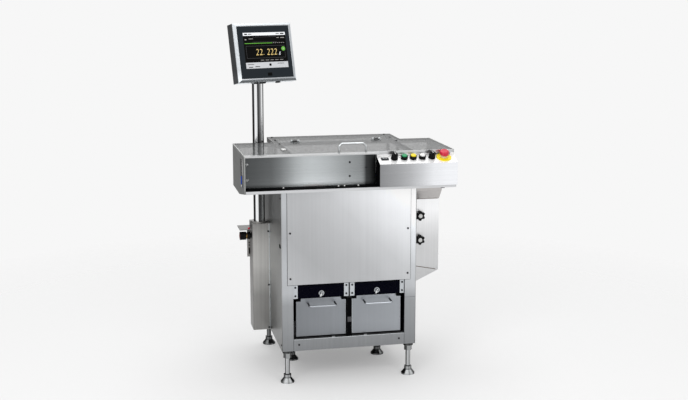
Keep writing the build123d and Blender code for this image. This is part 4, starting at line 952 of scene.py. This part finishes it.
def slot_guards():
    """Blue guard with a white foot beside the product slot in each end plate."""
    wide = 4 * MM
    front, back = FRONT + 59.6 * MM, FRONT + 61.2 * MM
    for name, material, slot, bottom, top in (("slot_guards_blue", guard_blue, "belt", 868, 903),
                                              ("slot_guards_white", white_plastic, "white", 850, 867)):
        guards = [((x, front, bottom * MM), (x + wide, back, top * MM))
                  for x in (ends_low.x, ends_high.x - wide)]
        blocks(name, guards, material, "root", 0.2 * MM)


def lid_switch():
    """Small white switch on the left end of the hood's roof."""
    low = Vector((LEFT + 18 * MM, FRONT + 85 * MM, ends_high.z))
    size = Vector((18 * MM, 30 * MM, 5 * MM))
    blocks("lid_switch", [(low, low + size)], white_plastic, "root", 1.0 * MM)


# Cabinet


def window_bumpers():
    """Two rubber bumpers under the window of each bin."""
    wide = 20 * MM
    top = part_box("bin_windows")[0].z
    front, back = brackets_low.y + 2 * MM, brackets_low.y + 9 * MM
    bumpers = []
    for node in ("reject_bin_left", "reject_bin_right"):
        low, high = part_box(node)
        for x in (low.x - 1 * MM, high.x - wide - 1 * MM):
            bumpers.append(((x, front, top - 13 * MM), (x + wide, back, top)))
    blocks("window_bumpers", bumpers, black_rubber_and_shade, "root", 1.0 * MM)


def star_hubs():
    """White cap in the middle of each star knob."""
    outline = in_mm([(9.2, -3), (9.2, 1.0), (8, 2.0), (2, 2.4)])
    for level in ("lower", "upper"):
        node = f"star_knob_{level}"
        front = centre_of(node)
        front.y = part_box(node)[0].y
        turned(f"star_hub_{level}", outline, [aimed(front, 90, "X")], white_plastic, node)


def post_details():
    """Dark strip of painted shade and ribbed catch on the post between the bins, and the seam between its two
    brackets.
    """
    half = 10.2 * MM
    # Painted shade: a dark strip where the gap between the bins lies in shade
    strip = [((MIDDLE - half, FRONT - 0.5 * MM, RAIL_TOP + 1 * MM),
              (MIDDLE + half, FRONT, brackets_low.z - 8 * MM))]
    blocks("post_gap_shade", strip, black_rubber_and_shade, "root", 0.2 * MM)
    half, bottom, top = 9 * MM, 259 * MM, 282 * MM
    catch = [((MIDDLE - half, FRONT - 2.5 * MM, bottom), (MIDDLE + half, FRONT - 0.4 * MM, top))]
    rib, pitch, inset = 1.6 * MM, 3.4 * MM, 1 * MM
    for step in range(5):
        x = MIDDLE - half + inset + step * pitch
        catch.append(((x, FRONT - 3.1 * MM, bottom + inset), (x + rib, FRONT - 2.4 * MM, top - inset)))
    blocks("post_catch", catch, steel_inner_painted_shade, "root", 0.3 * MM)
    half, y = 1 * MM, brackets_low.y
    seam = [((MIDDLE - half, y - 0.4 * MM, brackets_low.z), (MIDDLE + half, y + 1 * MM, brackets_high.z))]
    blocks("bracket_seam", seam, black_rubber_and_shade, "root", 0.1 * MM)


def frame_seams():
    """Dark joints of the legs with the lower rail and across the right leg, and a painted highlight along the
    rail's top edge.
    """
    front, back = FRONT - 0.3 * MM, FRONT + 0.2 * MM
    left, right = LEFT + LEG_WIDTH, legs_high.x - LEG_WIDTH
    half = 0.8 * MM
    joint_low, joint_high = 354.2 * MM, 355.4 * MM
    seams = [((left - half, front, legs_low.z), (left + half, back, RAIL_TOP)),
             ((right - half, front, legs_low.z), (right + half, back, panel_low.z)),
             ((right, front, joint_low), (legs_high.x, back, joint_high))]
    blocks("frame_seams", seams, seam_dark, "root", 0.1 * MM)
    # Painted highlight along the top edge of the rail
    edge = [((left + 1 * MM, front, RAIL_TOP - 1.8 * MM), (right - 1 * MM, back, RAIL_TOP))]
    blocks("rail_highlight", edge, edge_highlight, "root", 0.1 * MM)


def bin_highlights():
    """Painted highlight along the edge of each bin front beside the middle post."""
    wide, bottom, top = 1.6 * MM, 204 * MM, 366 * MM
    for side in ("left", "right"):
        low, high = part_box(f"reject_bin_{side}")
        x = high.x - 2.2 * MM if side == "left" else low.x + 0.6 * MM
        # Painted highlight as a bright strip on the edge
        strip = [((x, BIN_FRONT - 0.5 * MM, bottom), (x + wide, BIN_FRONT + 0.2 * MM, top))]
        blocks(f"bin_highlight_{side}", strip, edge_highlight, f"bin_{side}", 0.1 * MM)


def panel_shadow_gap():
    """Dark strips round the front panel that paint the shadow in the gap at its edges."""
    front, back = FRONT - 0.6 * MM, FRONT
    left, right = panel_low.x, panel_high.x
    wide = 1.6 * MM
    bottom = panel_low.z - wide
    # Painted shadow along the panel's left, right and lower edges
    strips = [((left - wide, front, bottom), (left, back, panel_high.z)),
              ((right, front, bottom), (right + wide, back, panel_high.z)),
              ((left, front, bottom), (right, back, panel_low.z))]
    blocks("panel_shadow_gap", strips, black_rubber_and_shade, "root", 0.2 * MM)


def lock_details():
    """Thumb blade on the front of each cam lock, with a key slot in it that is a dark block of painted shade.
    """
    for side in ("left", "right"):
        low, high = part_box(f"bin_lock_{side}")
        plug = (low.x + 7 * MM, low.y, (low.z + high.z) / 2)
        aim = aimed(plug, LOCK_BLADE_TURN, "Y")
        blade = [in_mm([(-3.2, -4.0, -15), (3.2, 0.5, 5)])]
        blocks(f"lock_blade_{side}", blade, chrome, f"lock_{side}", 1.2 * MM, aim)
        # Painted shade in the key slot
        hole = [in_mm([(-1.6, -4.3, -2), (1.6, -3.8, 2.5)])]
        blocks(f"lock_slot_{side}", hole, black_rubber_and_shade, f"lock_{side}", 0.2 * MM, aim)


def chute_details():
    """Folded seam across the side chute's lower end, lip under its throat, and latch under the console."""
    face = FRONT + 100 * MM
    start = Vector((LEFT + 600 * MM, face, 468 * MM))
    end = Vector((LEFT + 706 * MM, face, 447 * MM))
    along = end - start
    fall = -math.degrees(math.atan2(along.z, along.x))
    seam = [((0, -0.5 * MM, -1.5 * MM), (along.length, 0.2 * MM, 1.5 * MM))]
    blocks("chute_seam", seam, seam_metal, "root", 0.1 * MM, aimed(start, fall, "Y"))
    lip = [((LEFT + 590 * MM, face - 1.5 * MM, 766.5 * MM), (LEFT + 712 * MM, face, 768.5 * MM))]
    blocks("chute_lip", lip, seam_metal, "root", 0.1 * MM)
    latch = [((LEFT + 676 * MM, FRONT - 66 * MM, 842.5 * MM), (LEFT + 692 * MM, FRONT - 50 * MM, 855.5 * MM))]
    blocks("console_latch", latch, black, "root", 1.0 * MM)


# Left side


def valve_cap():
    """Red cap on the valve's knob."""
    end = centre_of("valve_knob")
    end.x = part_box("valve_knob")[0].x
    cap = in_mm([(12, -2), (12, 0.8), (10.5, 1.6), (2, 2.0)])
    turned("valve_cap", cap, [aimed(end, -90, "Y")], dark_red, "valve_knob")


def service_box_highlight():
    """Painted highlight along the front edge of the service box."""
    # Painted highlight as a bright strip
    edge = [((box_high.x - 3.5 * MM, box_low.y - 0.8 * MM, box_low.z + 2 * MM),
             (box_high.x - 0.8 * MM, box_low.y + 0.3 * MM, 635 * MM))]
    blocks("service_box_highlight", edge, edge_highlight, bevel=0.2 * MM)


def valve_ring():
    """Brass ring round the valve's neck."""
    neck = centre_of("valve_knob")
    neck.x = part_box("valve_knob")[1].x + 0.5 * MM
    ring = in_mm([(12.5, 0), (13, 0.5), (13, 3.3), (12.5, 3.8)])
    turned("valve_ring", ring, [aimed(neck, 90, "Y")], brass, "root")


def strip_slots():
    """Three slots in the strip beside the service box, each a dark strip of painted shade."""
    x, y, half = LEFT - 82 * MM, box_high.y - 4 * MM, 3 * MM
    slots = [((x - half, y - 0.5 * MM, bottom * MM), (x + half, y + 0.2 * MM, top * MM))
             for bottom, top in ((527, 534), (515, 522), (478, 507))]
    blocks("strip_slots", slots, black_rubber_and_shade, "root", 0.1 * MM)


def side_latch():
    """Dark latch near the front edge of the left skin."""
    latch = [((SKIN_FACE - 1.2 * MM, FRONT + 20 * MM, 591 * MM),
              (SKIN_FACE + 0.4 * MM, FRONT + 50 * MM, 607 * MM))]
    blocks("side_latch", latch, black_rubber_and_shade, "root", 1.0 * MM)


def shelf_lamp():
    """Small red lamp on the shelf of the service box."""
    lamp = Matrix.Translation((box_low.x + 42 * MM, box_low.y + 12 * MM, 613 * MM))
    outline = in_mm([(5, 0), (5, 4), (3.5, 6), (1, 6.6)])
    turned("shelf_lamp", outline, [lamp], red_plastic, "root")


# Stage


def stage():
    """Pale floor that fades into the background away from the object."""
    work = bmesh.new()
    bmesh.ops.create_circle(work, cap_ends=True, segments=FLOOR_SIDES, radius=FLOOR_RADIUS)
    floor = in_scene("floor", to_mesh("floor", work))
    material, tree, shader = new_material("floor_pale")
    shader.inputs["Base Color"].default_value = FLOOR_COLOUR
    shader.inputs["Roughness"].default_value = 0.85
    shader.inputs["Specular IOR Level"].default_value = 0.1
    feed(tree, shader.inputs["Emission Color"], mix(tree, seen(tree), grey(0.0), grey(1.0)))
    shader.inputs["Emission Strength"].default_value = FLOOR_GLOW
    distance = add(tree, "ShaderNodeVectorMath", {"operation": "LENGTH"})
    feed(tree, distance.inputs[0], place(tree))
    fade_start, fade_end = [share * FLOOR_RADIUS for share in FLOOR_FADE]
    feed(tree, shader.inputs["Alpha"], remap(tree, distance.outputs["Value"], fade_start, fade_end, 1.0, 0.0))
    floor.data.materials.append(material)


def seen(tree, passed_on=("Is Glossy Ray", "Is Transmission Ray")):
    """1 for rays from the camera and for those that metal or glass passes on."""
    path = add(tree, "ShaderNodeLightPath")
    shown = path.outputs["Is Camera Ray"]
    for name in passed_on:
        either = add(tree, "ShaderNodeMath", {"operation": "MAXIMUM"})
        feed(tree, either.inputs[0], shown)
        feed(tree, either.inputs[1], path.outputs[name])
        shown = either.outputs["Value"]
    return shown


def world():
    """Even pale surroundings. Metal sees a darker card behind the object on its left."""
    scene_world = bpy.data.worlds.new("studio")
    bpy.context.scene.world = scene_world
    scene_world.use_nodes = True
    tree = scene_world.node_tree
    ground = tree.nodes["Background"]
    towards = add(tree, "ShaderNodeTexCoord").outputs["Generated"]
    nearness = distance_along(tree, towards, Vector(DARK_CARD_TOWARDS).normalized())
    card_end, card_full = math.cos(math.radians(DARK_CARD_END)), math.cos(math.radians(DARK_CARD_FULL))
    card = remap(tree, nearness, card_end, card_full, 0.0, 1.0)
    mirrored = mix(tree, card, grey(BACKGROUND), grey(DARK_CARD))
    glossy = add(tree, "ShaderNodeLightPath").outputs["Is Glossy Ray"]
    colour = mix(tree, glossy, grey(WORLD_LIGHT), mirrored)
    shown = seen(tree, ["Is Transmission Ray"])
    feed(tree, ground.inputs["Color"], mix(tree, shown, colour, grey(BACKGROUND)))


def softbox(name, at, size, power):
    """Square lamp that is aimed at the object."""
    light = bpy.data.lights.new(name, "AREA")
    light.shape = "SQUARE"
    light.size = size
    light.energy = power
    lamp = in_scene(name, light)
    lamp.location = at
    lamp.rotation_mode = "QUATERNION"
    lamp.rotation_quaternion = (Vector(LIGHT_AIM) - Vector(at)).to_track_quat("-Z", "Y")


def lights():
    """Three lamps, with their places and widths in metres and their power in watts."""
    softbox("key", (-2.6, -3.6, 3.4), 2.2, 60)
    softbox("fill", (1.6, -4.4, 3.4), 2.0, 35)
    softbox("top", (0.2, 0.6, 4.0), 2.6, 40)


def camera():
    data = bpy.data.cameras.new("camera")
    data.lens = CAMERA_LENS
    data.sensor_width = CAMERA_SENSOR
    data.shift_y = CAMERA_SHIFT_Y
    thing = in_scene("camera", data)
    thing.location = CAMERA_PLACE
    thing.rotation_euler = (math.radians(90 - CAMERA_PITCH), 0, math.radians(CAMERA_YAW))
    bpy.context.scene.camera = thing


bpy.context.scene.view_settings.view_transform = "Standard"
dress_nodes()
screen_picture()
panel_details()
selector_marks()
console_end_shade()
stop_collar()
console_back_trim()
counter_details()
sill()
cover_screws()
slot_guards()
lid_switch()
window_bumpers()
star_hubs()
post_details()
frame_seams()
bin_highlights()
panel_shadow_gap()
lock_details()
chute_details()
valve_cap()
service_box_highlight()
valve_ring()
strip_slots()
side_latch()
shelf_lamp()
stage()
world()
lights()
camera()
